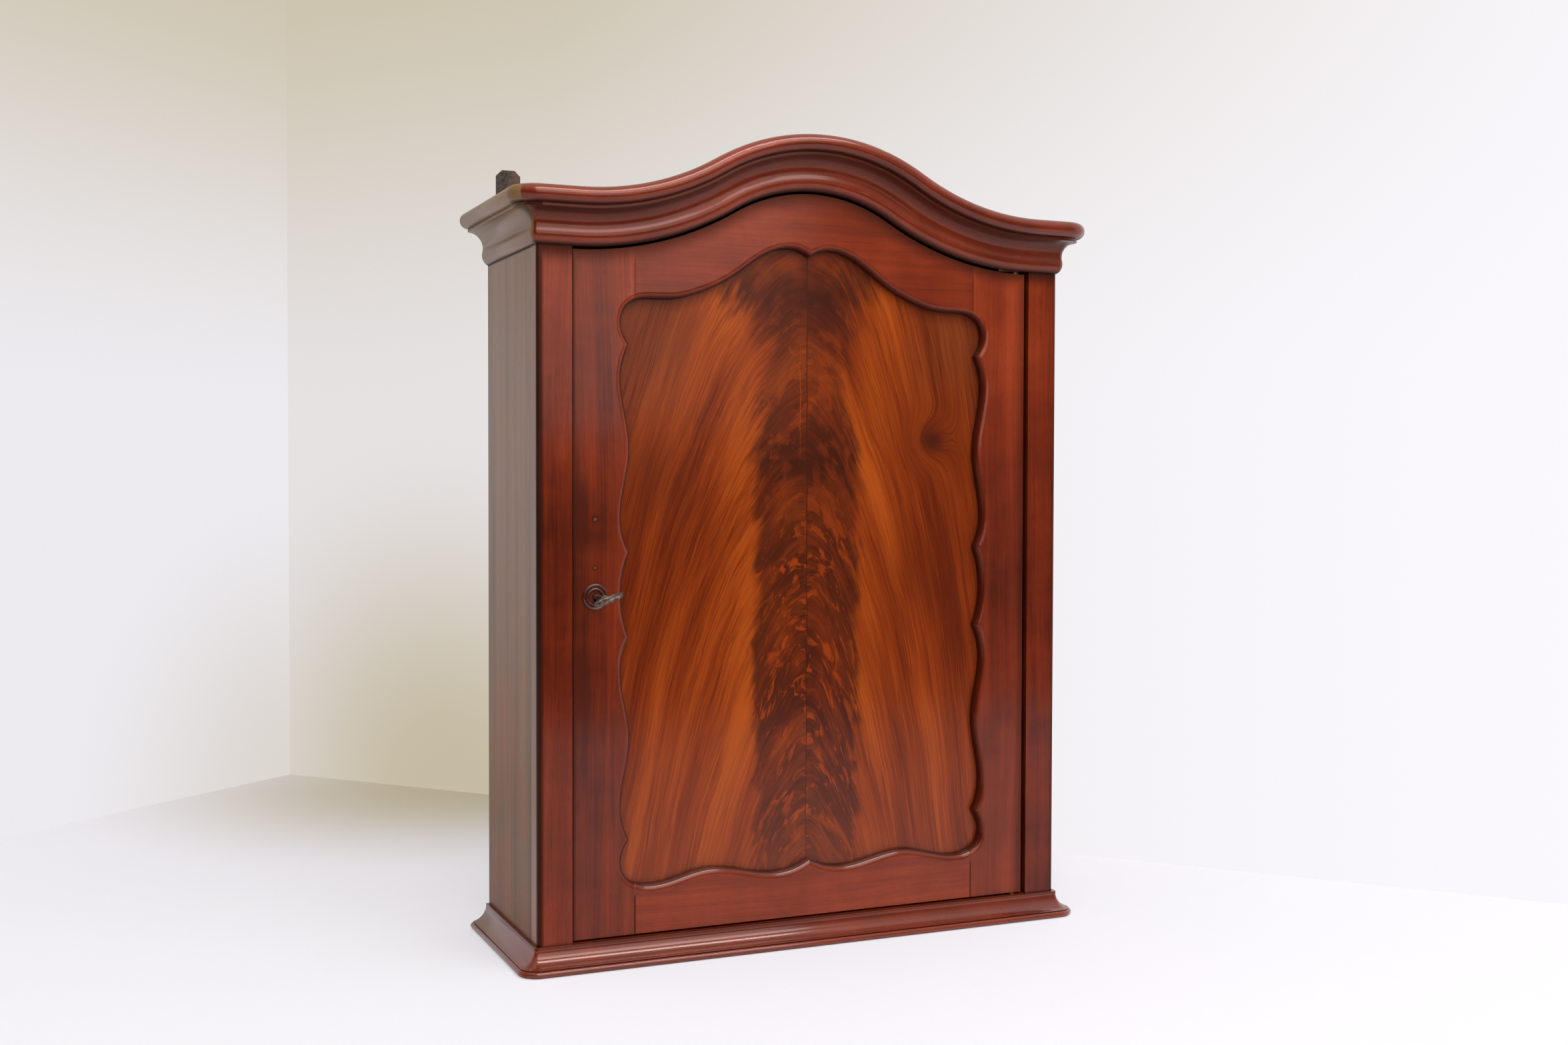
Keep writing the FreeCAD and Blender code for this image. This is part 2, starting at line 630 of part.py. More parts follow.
def make_roof_board():
    """Thin board bent over the arch, inside the cornice, back to the hanging plates."""
    body = new_body("roof_board")
    face = front_sketch(body, "roof_face", FRONT)
    arch_strip(face, f"(-{HALF})", HALF, RIM, f"({RIM} + dims.roof_thickness)")
    pad(body, face, f"{WALL} - dims.hanger_thickness - {FRONT}", back=True)
    finished(body, "roof_board")


def cornice_profile(sketch, side):
    """Swell, cove, step and half round; side is the way out along the sketch's x."""
    swell = "((dims.swell_reach^2 + dims.swell_height^2) / (2 * dims.swell_reach))"
    upright = "sqrt(1 - dims.swell_lean^2)"
    bend_out = f"(dims.swell_reach - {swell} * (1 - {upright}))"
    bend_up = f"(dims.swell_height + {swell} * dims.swell_lean)"
    cove = f"((dims.cornice_step - {bend_out}) / {upright})"
    shelf = f"({bend_up} + {cove} * (1 + dims.swell_lean))"
    nose = "(dims.cornice_height - 2 * dims.bullnose_radius)"
    out = [("0", "0"), (bend_out, bend_up), ("dims.cornice_step", shelf), ("dims.cornice_step", nose),
           ("(dims.cornice_step + dims.bullnose_radius)", f"({nose} + dims.bullnose_radius)"),
           ("dims.cornice_step", CORNICE), ("0", CORNICE)]
    corners = [(f"({side} * {x})", y) for x, y in out]
    half_round = ("dims.bullnose_radius", side)
    outline(sketch, corners, [(swell, side), (cove, -side), None, half_round, half_round, None, None])


def base_profile(sketch, side):
    """Half round, quirk, cove and ledge; side is the way out along the sketch's x."""
    cove_foot = "(dims.base_ledge + dims.base_cove)"
    bead = f"({cove_foot} - dims.base_quirk)"
    quirk = "(2 * dims.base_bead + dims.base_quirk)"
    out = [("0", "0"), (bead, "0"), (f"({bead} + dims.base_bead)", "dims.base_bead"),
           (bead, "(2 * dims.base_bead)"), (cove_foot, quirk),
           ("dims.base_ledge", f"({quirk} + dims.base_cove)"), ("dims.base_ledge", BASE_TOP), ("0", BASE_TOP)]
    corners = [(f"({side} * {x})", y) for x, y in out]
    half_round = ("dims.base_bead", side)
    bends = [None, half_round, half_round, None, ("dims.base_cove_radius", -side), None, None, None]
    outline(sketch, corners, bends)


def make_side_moulding(name, hand, profile, level):
    """Moulding along a side, turned half way round the front corner to its mitre."""
    body = new_body(name)
    section = sketch_on(body, "XZ_Plane", name + "_section", (f"({hand} * {HALF})", level, f"-({FRONT})"))
    profile(section, hand)
    pad(body, section, "dims.carcass_depth", back=True)
    turned(body, section, 45, back=hand > 0)
    finished(body, name)


def make_front_moulding(name, profile, level, path=None):
    """Moulding across the front, straight or along a path, turned to the mitre at both corners."""
    body = new_body(name)
    sections = [sketch_on(body, "YZ_Plane", f"{name}_section_{side}", (FRONT, level, f"({hand} * {HALF})"))
                for side, hand in (("left", -1), ("right", 1))]
    for section in sections:
        profile(section, -1)
    if path is None:
        pad(body, sections[0], "dims.carcass_width")
    else:
        spine = front_sketch(body, name + "_spine", FRONT)
        corners, bends = path
        outline(spine, corners, bends, closed=False)
        sweep = body.newObject("PartDesign::AdditivePipe", name + "_sweep")
        sweep.Profile = sections[0]
        sweep.Spine = (spine, [])
    turned(body, sections[0], 45, back=True)
    turned(body, sections[1], 45)
    finished(body, name)


def make_shelf(name, height):
    foot = f"dims.{height}"
    front = f"({STILE_BACK} + dims.shelf_setback)"
    board = box(name, (f"(-{INNER})", front, foot), (INNER, BACK_FACE, f"({foot} + dims.shelf_thickness)"))
    finished(board, name)


def make_cleat(name, hand, height):
    """Bevelled cleat that a shelf end rests on."""
    body = new_body(name)
    top = f"dims.{height}"
    foot = f"({top} - dims.cleat_height)"
    front = f"({STILE_BACK} + dims.shelf_setback + dims.cleat_inset)"
    wall = f"({hand} * {INNER})"
    face = f"({hand} * ({INNER} - dims.cleat_width))"
    bevel = f"({hand} * ({INNER} - dims.cleat_width + dims.cleat_bevel))"
    section = front_sketch(body, name + "_section", front)
    edge = f"({foot} + dims.cleat_bevel)"
    polygon(section, [(wall, top), (wall, foot), (bevel, foot), (face, edge), (face, top)])
    pad(body, section, f"{BACK_FACE} - dims.cleat_inset - {front}", back=True)
    finished(body, name)


def make_door_stop():
    """Strip behind the left stile that the closed door meets."""
    right = f"(-{OPENING} + dims.stop_lap)"
    stop = box("door_stop", (f"({right} - dims.stop_width)", STILE_BACK, "dims.stop_height"),
               (right, f"({STILE_BACK} + dims.stop_thickness)", "(dims.stop_height + dims.stop_length)"))
    finished(stop, "door_stop")


def make_hanger(name, hand, drills):
    """Iron hanging plate with cut corners, let into the back flush with the wall."""
    body = new_body(name + "_blank")
    middle = f"({hand} * {HANGER_X})"
    left = f"({middle} - dims.hanger_width / 2)"
    right = f"({middle} + dims.hanger_width / 2)"
    shoulder = f"({HANGER_TOP} - dims.hanger_clip)"
    face = front_sketch(body, name + "_face", f"({WALL} - dims.hanger_thickness)")
    polygon(face, [(left, HANGER_FOOT), (right, HANGER_FOOT), (right, shoulder),
                   (f"({right} - dims.hanger_clip)", HANGER_TOP),
                   (f"({left} + dims.hanger_clip)", HANGER_TOP), (left, shoulder)])
    circle(face, middle, f"({HANGER_TOP} - dims.hanger_hole_drop)", "dims.hanger_hole")
    pad(body, face, "dims.hanger_thickness", back=True)
    finished(drilled(body, drills), name)


def hanger_screw_places(hand):
    """Three screws up the foot of a hanging plate, driven from behind."""
    places = []
    for step in range(3):
        level = f"({HANGER_FOOT} + dims.hanger_screw_foot + {step} * dims.hanger_screw_pitch)"
        places.append(((f"({hand} * {HANGER_X})", WALL, level), "-Y"))
    return places


# Pivot hinges at the head and foot of the door

def leaf_outline(sketch):
    """Hinge leaf, round about the pin and square at its far end."""
    far = f"({PIVOT_X} - dims.leaf_length)"
    near = f"({PIVOT_Y} - dims.leaf_width / 2)"
    rear = f"({PIVOT_Y} + dims.leaf_width / 2)"
    quarter = ("dims.leaf_width / 2", 1)
    outline(sketch, [(far, near), (PIVOT_X, near), (f"({PIVOT_X} + dims.leaf_width / 2)", PIVOT_Y),
                     (PIVOT_X, rear), (far, rear)], [None, quarter, quarter, None, None])


def leaf_screw_places(level, way):
    """Two screws along a hinge leaf."""
    reaches = ("dims.leaf_screw_near", "dims.leaf_screw_far")
    return [((f"({PIVOT_X} - {reach})", PIVOT_Y, level), way) for reach in reaches]


def make_hinge_plate(name, level, gap, down, drills):
    """Leaf let into the carcass, with the collar and pin that carry the door."""
    body = new_body(name + "_blank")
    plan = plan_sketch(body, name + "_plan", level)
    leaf_outline(plan)
    pad(body, plan, "dims.leaf_thickness", back=not down)
    collar = plan_sketch(body, name + "_collar", level)
    circle(collar, PIVOT_X, PIVOT_Y, "dims.collar_radius")
    pad(body, collar, f"{gap} - dims.collar_play", back=down)
    pin = plan_sketch(body, name + "_pin", level)
    circle(pin, PIVOT_X, PIVOT_Y, "dims.pin_radius")
    pad(body, pin, f"{gap} + dims.leaf_thickness + dims.pin_end", back=down)
    finished(drilled(body, drills), name)


def make_hinge_leaf(name, level, down, drills):
    """Leaf let into the door's edge, bored for the pin."""
    body = new_body(name + "_blank")
    plan = plan_sketch(body, name + "_plan", level)
    leaf_outline(plan)
    circle(plan, PIVOT_X, PIVOT_Y, "dims.pin_radius + dims.pin_fit")
    pad(body, plan, "dims.leaf_thickness", back=down)
    finished(drilled(body, drills), name)


def let_in_leaf(body, name, level, down):
    """Recess in a door edge for a hinge leaf, and room for the end of the pin."""
    recess = plan_sketch(body, name + "_recess", level)
    leaf_outline(recess)
    pocket(body, recess, "dims.leaf_thickness", along=not down)
    if down:
        landing = plan_sketch(body, name + "_landing", level)
        leaf_outline(landing)
        arch_end = arch_z(f"({PIVOT_X} - dims.leaf_length)", "0")
        pocket(body, landing, f"{arch_end} - {level}", along=True)
    room = plan_sketch(body, name + "_room", level)
    circle(room, PIVOT_X, PIVOT_Y, "dims.pin_radius + 2 * dims.pin_end / 3")
    pocket(body, room, "dims.leaf_thickness + 2 * dims.pin_end", along=not down)


# Door frame: the scalloped opening

def door_point(hand, reach, level):
    """Point of the opening, by its distance from the door's middle."""
    return Vector(num(DOOR_MID) + hand * num(reach), num(level), 0)


def joint_ways(hand):
    """Ways along the opening's edge, outwards, where rails and stiles meet."""
    fall = num("dims.corner_drop") / (num(WIDEST) - num(JOINT)) * 2
    return Vector(hand, -fall, 0), Vector(hand, fall, 0)


def side_curves(hand):
    """The stile's scalloped edge from the upper joint down to the lower one."""
    cusp = f"({WIDEST} - dims.scallop_depth)"
    waist = f"({WIDEST} - dims.waist_depth)"
    middle = f"(({HEAD_EDGE} + {FOOT_EDGE}) / 2 - dims.middle_drop)"
    high_cusp = f"({HEAD_EDGE} - dims.corner_lobe)"
    low_cusp = f"({FOOT_EDGE} + dims.corner_lobe)"
    upper_cusp = f"({middle} + dims.middle_lobe)"
    lower_cusp = f"({middle} - dims.middle_lobe)"
    head_way, foot_way = joint_ways(hand)

    def through(points, first_way=None, last_way=None):
        return spline_through([door_point(hand, x, z) for x, z in points], first_way, last_way)

    def long_scallop(start, end):
        return through([(cusp, start), (WIDEST, f"({start} - dims.lobe_turn)"),
                        (waist, f"(({start} + {end}) / 2)"),
                        (WIDEST, f"({end} + dims.lobe_turn)"), (cusp, end)])

    return [
        through([(JOINT, f"({HEAD_EDGE} - dims.corner_drop)"), (WIDEST, f"({HEAD_EDGE} - dims.corner_turn)"),
                 (cusp, high_cusp)], first_way=head_way),
        long_scallop(high_cusp, upper_cusp),
        through([(cusp, upper_cusp), (WIDEST, middle), (cusp, lower_cusp)]),
        long_scallop(lower_cusp, low_cusp),
        through([(cusp, low_cusp), (WIDEST, f"({FOOT_EDGE} + dims.corner_turn)"),
                 (JOINT, f"({FOOT_EDGE} + dims.corner_drop)")], last_way=foot_way * -1),
    ]


def head_curve(hand):
    """Half of the head's edge, from the joint up to the middle cusp."""
    head_way, _ = joint_ways(hand)
    rises = [(JOINT, "-dims.corner_drop")]
    for name in ("head_shoulder", "head_heel", "head_flank", "head_bend", "head_lobe"):
        rises.append((f"({JOINT} * dims.{name}_share)", f"dims.{name}_rise"))
    rises.append(("0", "dims.head_cusp_rise"))
    points = [door_point(hand, x, f"({HEAD_EDGE} + {rise})") for x, rise in rises]
    return spline_through(points, first_way=head_way * -1)


def foot_curve(hand):
    """Half of the foot's edge, from the joint to the middle cusp."""
    _, foot_way = joint_ways(hand)
    crest = f"({JOINT} * dims.foot_crest_share)"
    inner_trough = f"({JOINT} * dims.foot_trough_share)"
    outer_trough = f"({JOINT} * dims.foot_dip_share)"
    rises = [(JOINT, "dims.corner_drop"), (outer_trough, "0"), (crest, "dims.foot_crest_rise"),
             (inner_trough, "0"), ("0", "dims.foot_crest_rise")]
    points = [door_point(hand, x, f"({FOOT_EDGE} + {rise})") for x, rise in rises]
    return spline_through(points, first_way=foot_way * -1)


def reverse_curve(curve):
    turned_curve = curve.copy()
    turned_curve.reverse()
    return turned_curve


def round_front_edges(body):
    """Moulded edge: round the curved edges on the door's face."""
    doc.recompute()
    face = num(DOOR_FACE)
    base = body.Tip
    names = []
    for index, edge in enumerate(base.Shape.Edges, start=1):
        on_face = all(abs(vertex.Point.y - face) < 1e-4 for vertex in edge.Vertexes)
        if on_face and isinstance(edge.Curve, Part.BSplineCurve):
            names.append(f"Edge{index}")
    fillet = body.newObject("PartDesign::Fillet", body.Name + "_moulded_edge")
    fillet.Base = (base, names)
    fillet.setExpression("Radius", "dims.edge_round")


def cut_rebate(body, name):
    """Rebate behind the opening that takes the panel and its beads."""
    rebate = front_sketch(body, name + "_rebate", DOOR_BACK)
    panel_outline(rebate, "0")
    pocket(body, rebate, "dims.door_thickness - dims.panel_depth", along=True)


def panel_outline(sketch, slack):
    """Panel: upright sides, level foot and a head that follows the arch."""
    under_arch(sketch, f"({DOOR_MID} - {REBATE_HALF} + {slack})", f"({DOOR_MID} + {REBATE_HALF} - {slack})",
               f"({REBATE_FOOT} + {slack})", f"(-dims.panel_crown - {slack})")


def tenon_levels():
    """Foot and head of the lower and the upper tenons."""
    lower = (f"({DOOR_FOOT} + dims.tenon_shoulder)", f"({REBATE_FOOT} - dims.tenon_shoulder)")
    rebate_head = arch_z(f"({DOOR_MID} + {JOINT})", "(-dims.panel_crown)")
    upper = (f"({rebate_head} + dims.tenon_shoulder)", f"({DOOR_HEAD} - dims.tenon_shoulder)")
    return lower, upper


def tenon_section(body, name, hand, levels):
    """Section of a tenon where it leaves its rail, in a sketch of Y and Z."""
    middle = f"({DOOR_FACE} + dims.door_thickness / 2)"
    section = sketch_on(body, "YZ_Plane", name, ("0", "0", f"({DOOR_MID} + {hand} * {JOINT})"))
    half = "dims.tenon_thickness / 2"
    rectangle(section, f"({middle} - {half})", f"({middle} + {half})", *levels)
    return section


def make_door_stile(name, hand):
    """Door stile with its scalloped edge, mortises and rebate."""
    body = new_body(name + "_blank")
    edge = DOOR_RIGHT if hand > 0 else DOOR_LEFT
    joint = f"({DOOR_MID} + {hand} * {JOINT})"
    head = "(-dims.top_gap)"
    top, bends = backwards(arch_run(joint, edge, head)) if hand > 0 else arch_run(edge, joint, head)
    curves = side_curves(hand)
    ends = [(str(curve.StartPoint.x), str(curve.StartPoint.y)) for curve in curves]
    last = curves[-1].EndPoint
    corners = [(joint, DOOR_FOOT), (edge, DOOR_FOOT)] + top + ends + [(str(last.x), str(last.y))]
    face = front_sketch(body, name + "_face", DOOR_FACE)
    outline(face, corners, [None, None] + bends + [None] + curves + [None])
    pad(body, face, "dims.door_thickness", back=True)
    round_front_edges(body)
    cut_rebate(body, name)
    for place, levels in zip(("foot", "head"), tenon_levels()):
        mortise = tenon_section(body, f"{name}_{place}_mortise", hand, levels)
        pocket(body, mortise, "dims.tenon_length", along=hand > 0)
    return body


def make_hinge_stile(drills):
    """Right-hand door stile with both hinge leaves let in."""
    body = make_door_stile("door_stile_hinge", 1)
    let_in_leaf(body, "door_foot", DOOR_FOOT, down=False)
    let_in_leaf(body, "door_head", DOOR_HEAD, down=True)
    finished(drilled(body, drills), "door_stile_hinge")


def make_lock_stile(drills):
    """Left-hand door stile, cut for the lock and its key."""
    body = make_door_stile("door_stile_lock", -1)
    seat = front_sketch(body, "lock_plate_seat", DOOR_BACK)
    lock_rectangle(seat, "dims.lock_plate_height")
    pocket(body, seat, "dims.lock_plate", along=True)
    mortise = front_sketch(body, "lock_case_mortise", DOOR_BACK)
    lock_rectangle(mortise, "dims.lock_case_height")
    pocket(body, mortise, "dims.lock_depth", along=True)
    hole = front_sketch(body, "stile_keyhole", DOOR_BACK)
    keyhole(hole)
    pocket(body, hole, "dims.door_thickness", along=True)
    finished(drilled(body, drills), "door_stile_lock")


def make_head_rail():
    """Arched head of the door, with two tenons."""
    body = new_body("door_rail_top")
    left = f"({DOOR_MID} - {JOINT})"
    right = f"({DOOR_MID} + {JOINT})"
    head, bends = arch_run(left, right, "(-dims.top_gap)")
    curves = [head_curve(1), reverse_curve(head_curve(-1))]
    ends = [(str(curve.StartPoint.x), str(curve.StartPoint.y)) for curve in curves]
    last = curves[-1].EndPoint
    face = front_sketch(body, "door_rail_top_face", DOOR_FACE)
    outline(face, head + ends + [(str(last.x), str(last.y))], bends + [None] + curves + [None])
    pad(body, face, "dims.door_thickness", back=True)
    round_front_edges(body)
    cut_rebate(body, "door_rail_top")
    add_tenons(body, "head", tenon_levels()[1])
    finished(body, "door_rail_top")


def make_foot_rail():
    """Foot of the door, with two tenons."""
    body = new_body("door_rail_bottom")
    left = f"({DOOR_MID} - {JOINT})"
    right = f"({DOOR_MID} + {JOINT})"
    curves = [foot_curve(1), reverse_curve(foot_curve(-1))]
    ends = [(str(curve.StartPoint.x), str(curve.StartPoint.y)) for curve in curves]
    last = curves[-1].EndPoint
    face = front_sketch(body, "door_rail_bottom_face", DOOR_FACE)
    corners = [(left, DOOR_FOOT), (right, DOOR_FOOT)] + ends + [(str(last.x), str(last.y))]
    outline(face, corners, [None, None] + curves + [None])
    pad(body, face, "dims.door_thickness", back=True)
    round_front_edges(body)
    cut_rebate(body, "door_rail_bottom")
    add_tenons(body, "foot", tenon_levels()[0])
    finished(body, "door_rail_bottom")


def add_tenons(body, place, levels):
    for side, hand in (("left", -1), ("right", 1)):
        section = tenon_section(body, f"{place}_tenon_{side}", hand, levels)
        pad(body, section, "dims.tenon_length", back=hand < 0)


def make_panel():
    body = new_body("door_panel")
    face = front_sketch(body, "door_panel_face", PANEL_FACE)
    panel_outline(face, "dims.panel_clearance")
    pad(body, face, "dims.panel_thickness", back=True)
    finished(body, "door_panel")


def make_beads():
    """Four beads that hold the panel in its rebate from behind."""
    left = f"({DOOR_MID} - {REBATE_HALF})"
    right = f"({DOOR_MID} + {REBATE_HALF})"
    foot = f"({REBATE_FOOT} + dims.bead_width)"
    head = "(-dims.panel_crown)"
    under = "(-dims.panel_crown - dims.bead_width)"
    thickness = f"{DOOR_BACK} - {PANEL_BACK}"
    bottom = box("panel_bead_bottom", (left, PANEL_BACK, REBATE_FOOT), (right, DOOR_BACK, foot))
    finished(bottom, "panel_bead_bottom")
    top = new_body("panel_bead_top")
    face = front_sketch(top, "panel_bead_top_face", PANEL_BACK)
    arch_strip(face, left, right, under, head)
    pad(top, face, thickness, back=True)
    finished(top, "panel_bead_top")
    for side, outer, inner in (("left", left, f"({left} + dims.bead_width)"),
                               ("right", f"({right} - dims.bead_width)", right)):
        body = new_body(f"panel_bead_{side}")
        face = front_sketch(body, f"panel_bead_{side}_face", PANEL_BACK)
        under_arch(face, outer, inner, foot, under)
        pad(body, face, thickness, back=True)
        finished(body, f"panel_bead_{side}")


# Lock and key

def lock_rectangle(sketch, height):
    rectangle(sketch, DOOR_LEFT, LOCK_RIGHT, f"({KEY_Z} - {height} / 2)", f"({KEY_Z} + {height} / 2)")


def keyhole(sketch):
    """Round hole with a slot below it, for the shank and the bit."""
    radius = "(dims.key_shank + dims.keyhole_play)"
    drop = f"({KEY_Z} - sqrt({radius}^2 - dims.keyhole_slot^2))"
    low = f"({KEY_Z} - dims.bit_reach - dims.keyhole_play)"
    left = f"({KEY_X} - dims.keyhole_slot)"
    right = f"({KEY_X} + dims.keyhole_slot)"
    bend = (radius, 1)
    outline(sketch, [(left, low), (right, low), (right, drop), (f"({KEY_X} + {radius})", KEY_Z),
                     (KEY_X, f"({KEY_Z} + {radius})"), (f"({KEY_X} - {radius})", KEY_Z), (left, drop)],
            [None, None, bend, bend, bend, bend, None])


def lock_screw_places():
    """Four screws through the ends of the lock plate."""
    places = []
    for x in (f"({DOOR_LEFT} + dims.lock_screw_inset)", f"({LOCK_RIGHT} - dims.lock_screw_inset)"):
        for hand in (-1, 1):
            level = f"({KEY_Z} + {hand} * (dims.lock_plate_height / 2 - dims.lock_screw_inset))"
            places.append(((x, DOOR_BACK, level), "-Y"))
    return places


def make_lock_case(drills):
    """Back plate, selvage and rim in one, with the drill pin and the bolt's stump."""
    body = new_body("lock_case_blank")
    plate = front_sketch(body, "lock_plate_face", PLATE_FACE)
    lock_rectangle(plate, "dims.lock_plate_height")
    pad(body, plate, "dims.lock_plate", back=True)
    rim = front_sketch(body, "lock_rim", PLATE_FACE)
    lock_rectangle(rim, "dims.lock_case_height")
    rectangle(rim, f"({DOOR_LEFT} + dims.lock_selvage)", f"({LOCK_RIGHT} - dims.lock_wall)",
              f"({KEY_Z} - dims.lock_case_height / 2 + dims.lock_wall)",
              f"({KEY_Z} + dims.lock_case_height / 2 - dims.lock_wall)")
    pad(body, rim, "dims.lock_depth - dims.lock_plate - dims.lock_cover_plate")
    pins = front_sketch(body, "lock_drill_pin", PLATE_FACE)
    circle(pins, KEY_X, KEY_Z, "dims.drill_pin")
    pad(body, pins, "dims.drill_pin_length")
    stump = front_sketch(body, "lock_stump", PLATE_FACE)
    circle(stump, f"({KEY_X} - dims.stump_back)", f"({KEY_Z} + dims.stump_lift)", "dims.stump_radius")
    pad(body, stump, f"{PLATE_FACE} - {COVER_BACK}")
    slot = sketch_on(body, "YZ_Plane", "selvage_slot", ("0", "0", DOOR_LEFT))
    bolt_slot(slot, "dims.bolt_play / 2")
    pocket(body, slot, "dims.lock_selvage", along=True)
    finished(drilled(body, drills), "lock_case")


def make_lock_cover():
    """Plate that closes the case on the door's side, with the keyhole."""
    body = new_body("lock_cover")
    face = front_sketch(body, "lock_cover_face", LOCK_FRONT)
    lock_rectangle(face, "dims.lock_case_height")
    pad(body, face, "dims.lock_cover_plate", back=True)
    hole = front_sketch(body, "lock_cover_keyhole", COVER_BACK)
    keyhole(hole)
    pocket(body, hole, "dims.lock_cover_plate", along=True)
    finished(body, "lock_cover")


def make_lock_spring():
    """Bowed leaf between the top of the case and the bolt."""
    body = new_body("lock_spring")
    top = f"({KEY_Z} + dims.lock_case_height / 2 - dims.lock_wall)"
    low = f"({BOLT_TOP} + dims.bolt_play)"
    rise = f"({low} + dims.spring_radius - {top})"
    inside = "(dims.spring_radius - dims.spring_sheet)"
    outer = f"sqrt(dims.spring_radius^2 - {rise}^2)"
    inner = f"sqrt({inside}^2 - {rise}^2)"
    face = front_sketch(body, "lock_spring_face", f"({COVER_BACK} + dims.bolt_play)")
    outline(face, [(f"({KEY_X} - {outer})", top), (KEY_X, low), (f"({KEY_X} + {outer})", top),
                   (f"({KEY_X} + {inner})", top), (KEY_X, f"({low} + dims.spring_sheet)"),
                   (f"({KEY_X} - {inner})", top)],
            [("dims.spring_radius", 1), ("dims.spring_radius", 1), None, (inside, -1), (inside, -1), None])
    pad(body, face, f"{PLATE_FACE} - {COVER_BACK} - 2 * dims.bolt_play", back=True)
    finished(body, "lock_spring")


def make_bolt():
    """Bolt, drawn back, with the talon for the key's bit and a slot over the stump."""
    body = new_body("lock_bolt")
    face = front_sketch(body, "lock_bolt_face", f"({COVER_BACK} + dims.bolt_play)")
    tail = f"({KEY_X} + dims.bolt_tail)"
    near = f"({KEY_X} + dims.bolt_travel / 2 - dims.talon_width / 2)"
    far = f"({KEY_X} + dims.bolt_travel / 2 + dims.talon_width / 2)"
    roof = f"({KEY_Z} + dims.talon_top)"
    polygon(face, [(DOOR_LEFT, BOLT_FOOT), (near, BOLT_FOOT), (near, roof), (far, roof), (far, BOLT_FOOT),
                   (tail, BOLT_FOOT), (tail, BOLT_TOP), (DOOR_LEFT, BOLT_TOP)])
    gap = "(dims.stump_radius + dims.stump_play)"
    stump_x = f"({KEY_X} - dims.stump_back)"
    stump_z = f"({KEY_Z} + dims.stump_lift)"
    rectangle(face, f"({stump_x} - {gap})", f"({stump_x} + dims.bolt_travel + {gap})",
              f"({stump_z} - {gap})", f"({stump_z} + {gap})")
    pad(body, face, f"{PLATE_FACE} - {COVER_BACK} - 2 * dims.bolt_play", back=True)
    finished(body, "lock_bolt")


def make_escutcheon():
    """Turned ring about the keyhole: two beads with a flat between them."""
    body = new_body("escutcheon")
    section = sketch_on(body, "XY_Plane", "escutcheon_section")
    bead = "dims.ring_bead"
    edge = f"(dims.ring_radius - 2 * {bead})"
    rim = f"(dims.ring_hole + 2 * {bead})"
    plate = "(-dims.ring_plate)"
    crest = f"(-dims.ring_plate - {bead})"
    inner = f"(dims.ring_hole + {bead})"
    outer = f"(dims.ring_radius - {bead})"
    outline(section, [("dims.ring_hole", "0"), ("dims.ring_hole", plate), (inner, crest), (rim, plate),
                      (edge, plate), (outer, crest), ("dims.ring_radius", plate), ("dims.ring_radius", "0")],
            [None, (bead, 1), (bead, 1), None, (bead, 1), (bead, 1), None, None])
    turned(body, section, 360)
    for axis, expression in zip("xyz", (KEY_X, DOOR_FACE, KEY_Z)):
        body.setExpression(f"Placement.Base.{axis}", expression)
    finished(body, "escutcheon")


def turn_on_face(sketch, angle):
    """Turn a sketch about the axis that its face looks along."""
    place = sketch.AttachmentOffset
    sketch.AttachmentOffset = FreeCAD.Placement(place.Base, Rotation(Vector(0, 0, 1), num(angle)))
    sketch.setExpression("AttachmentOffset.Rotation.Angle", angle)


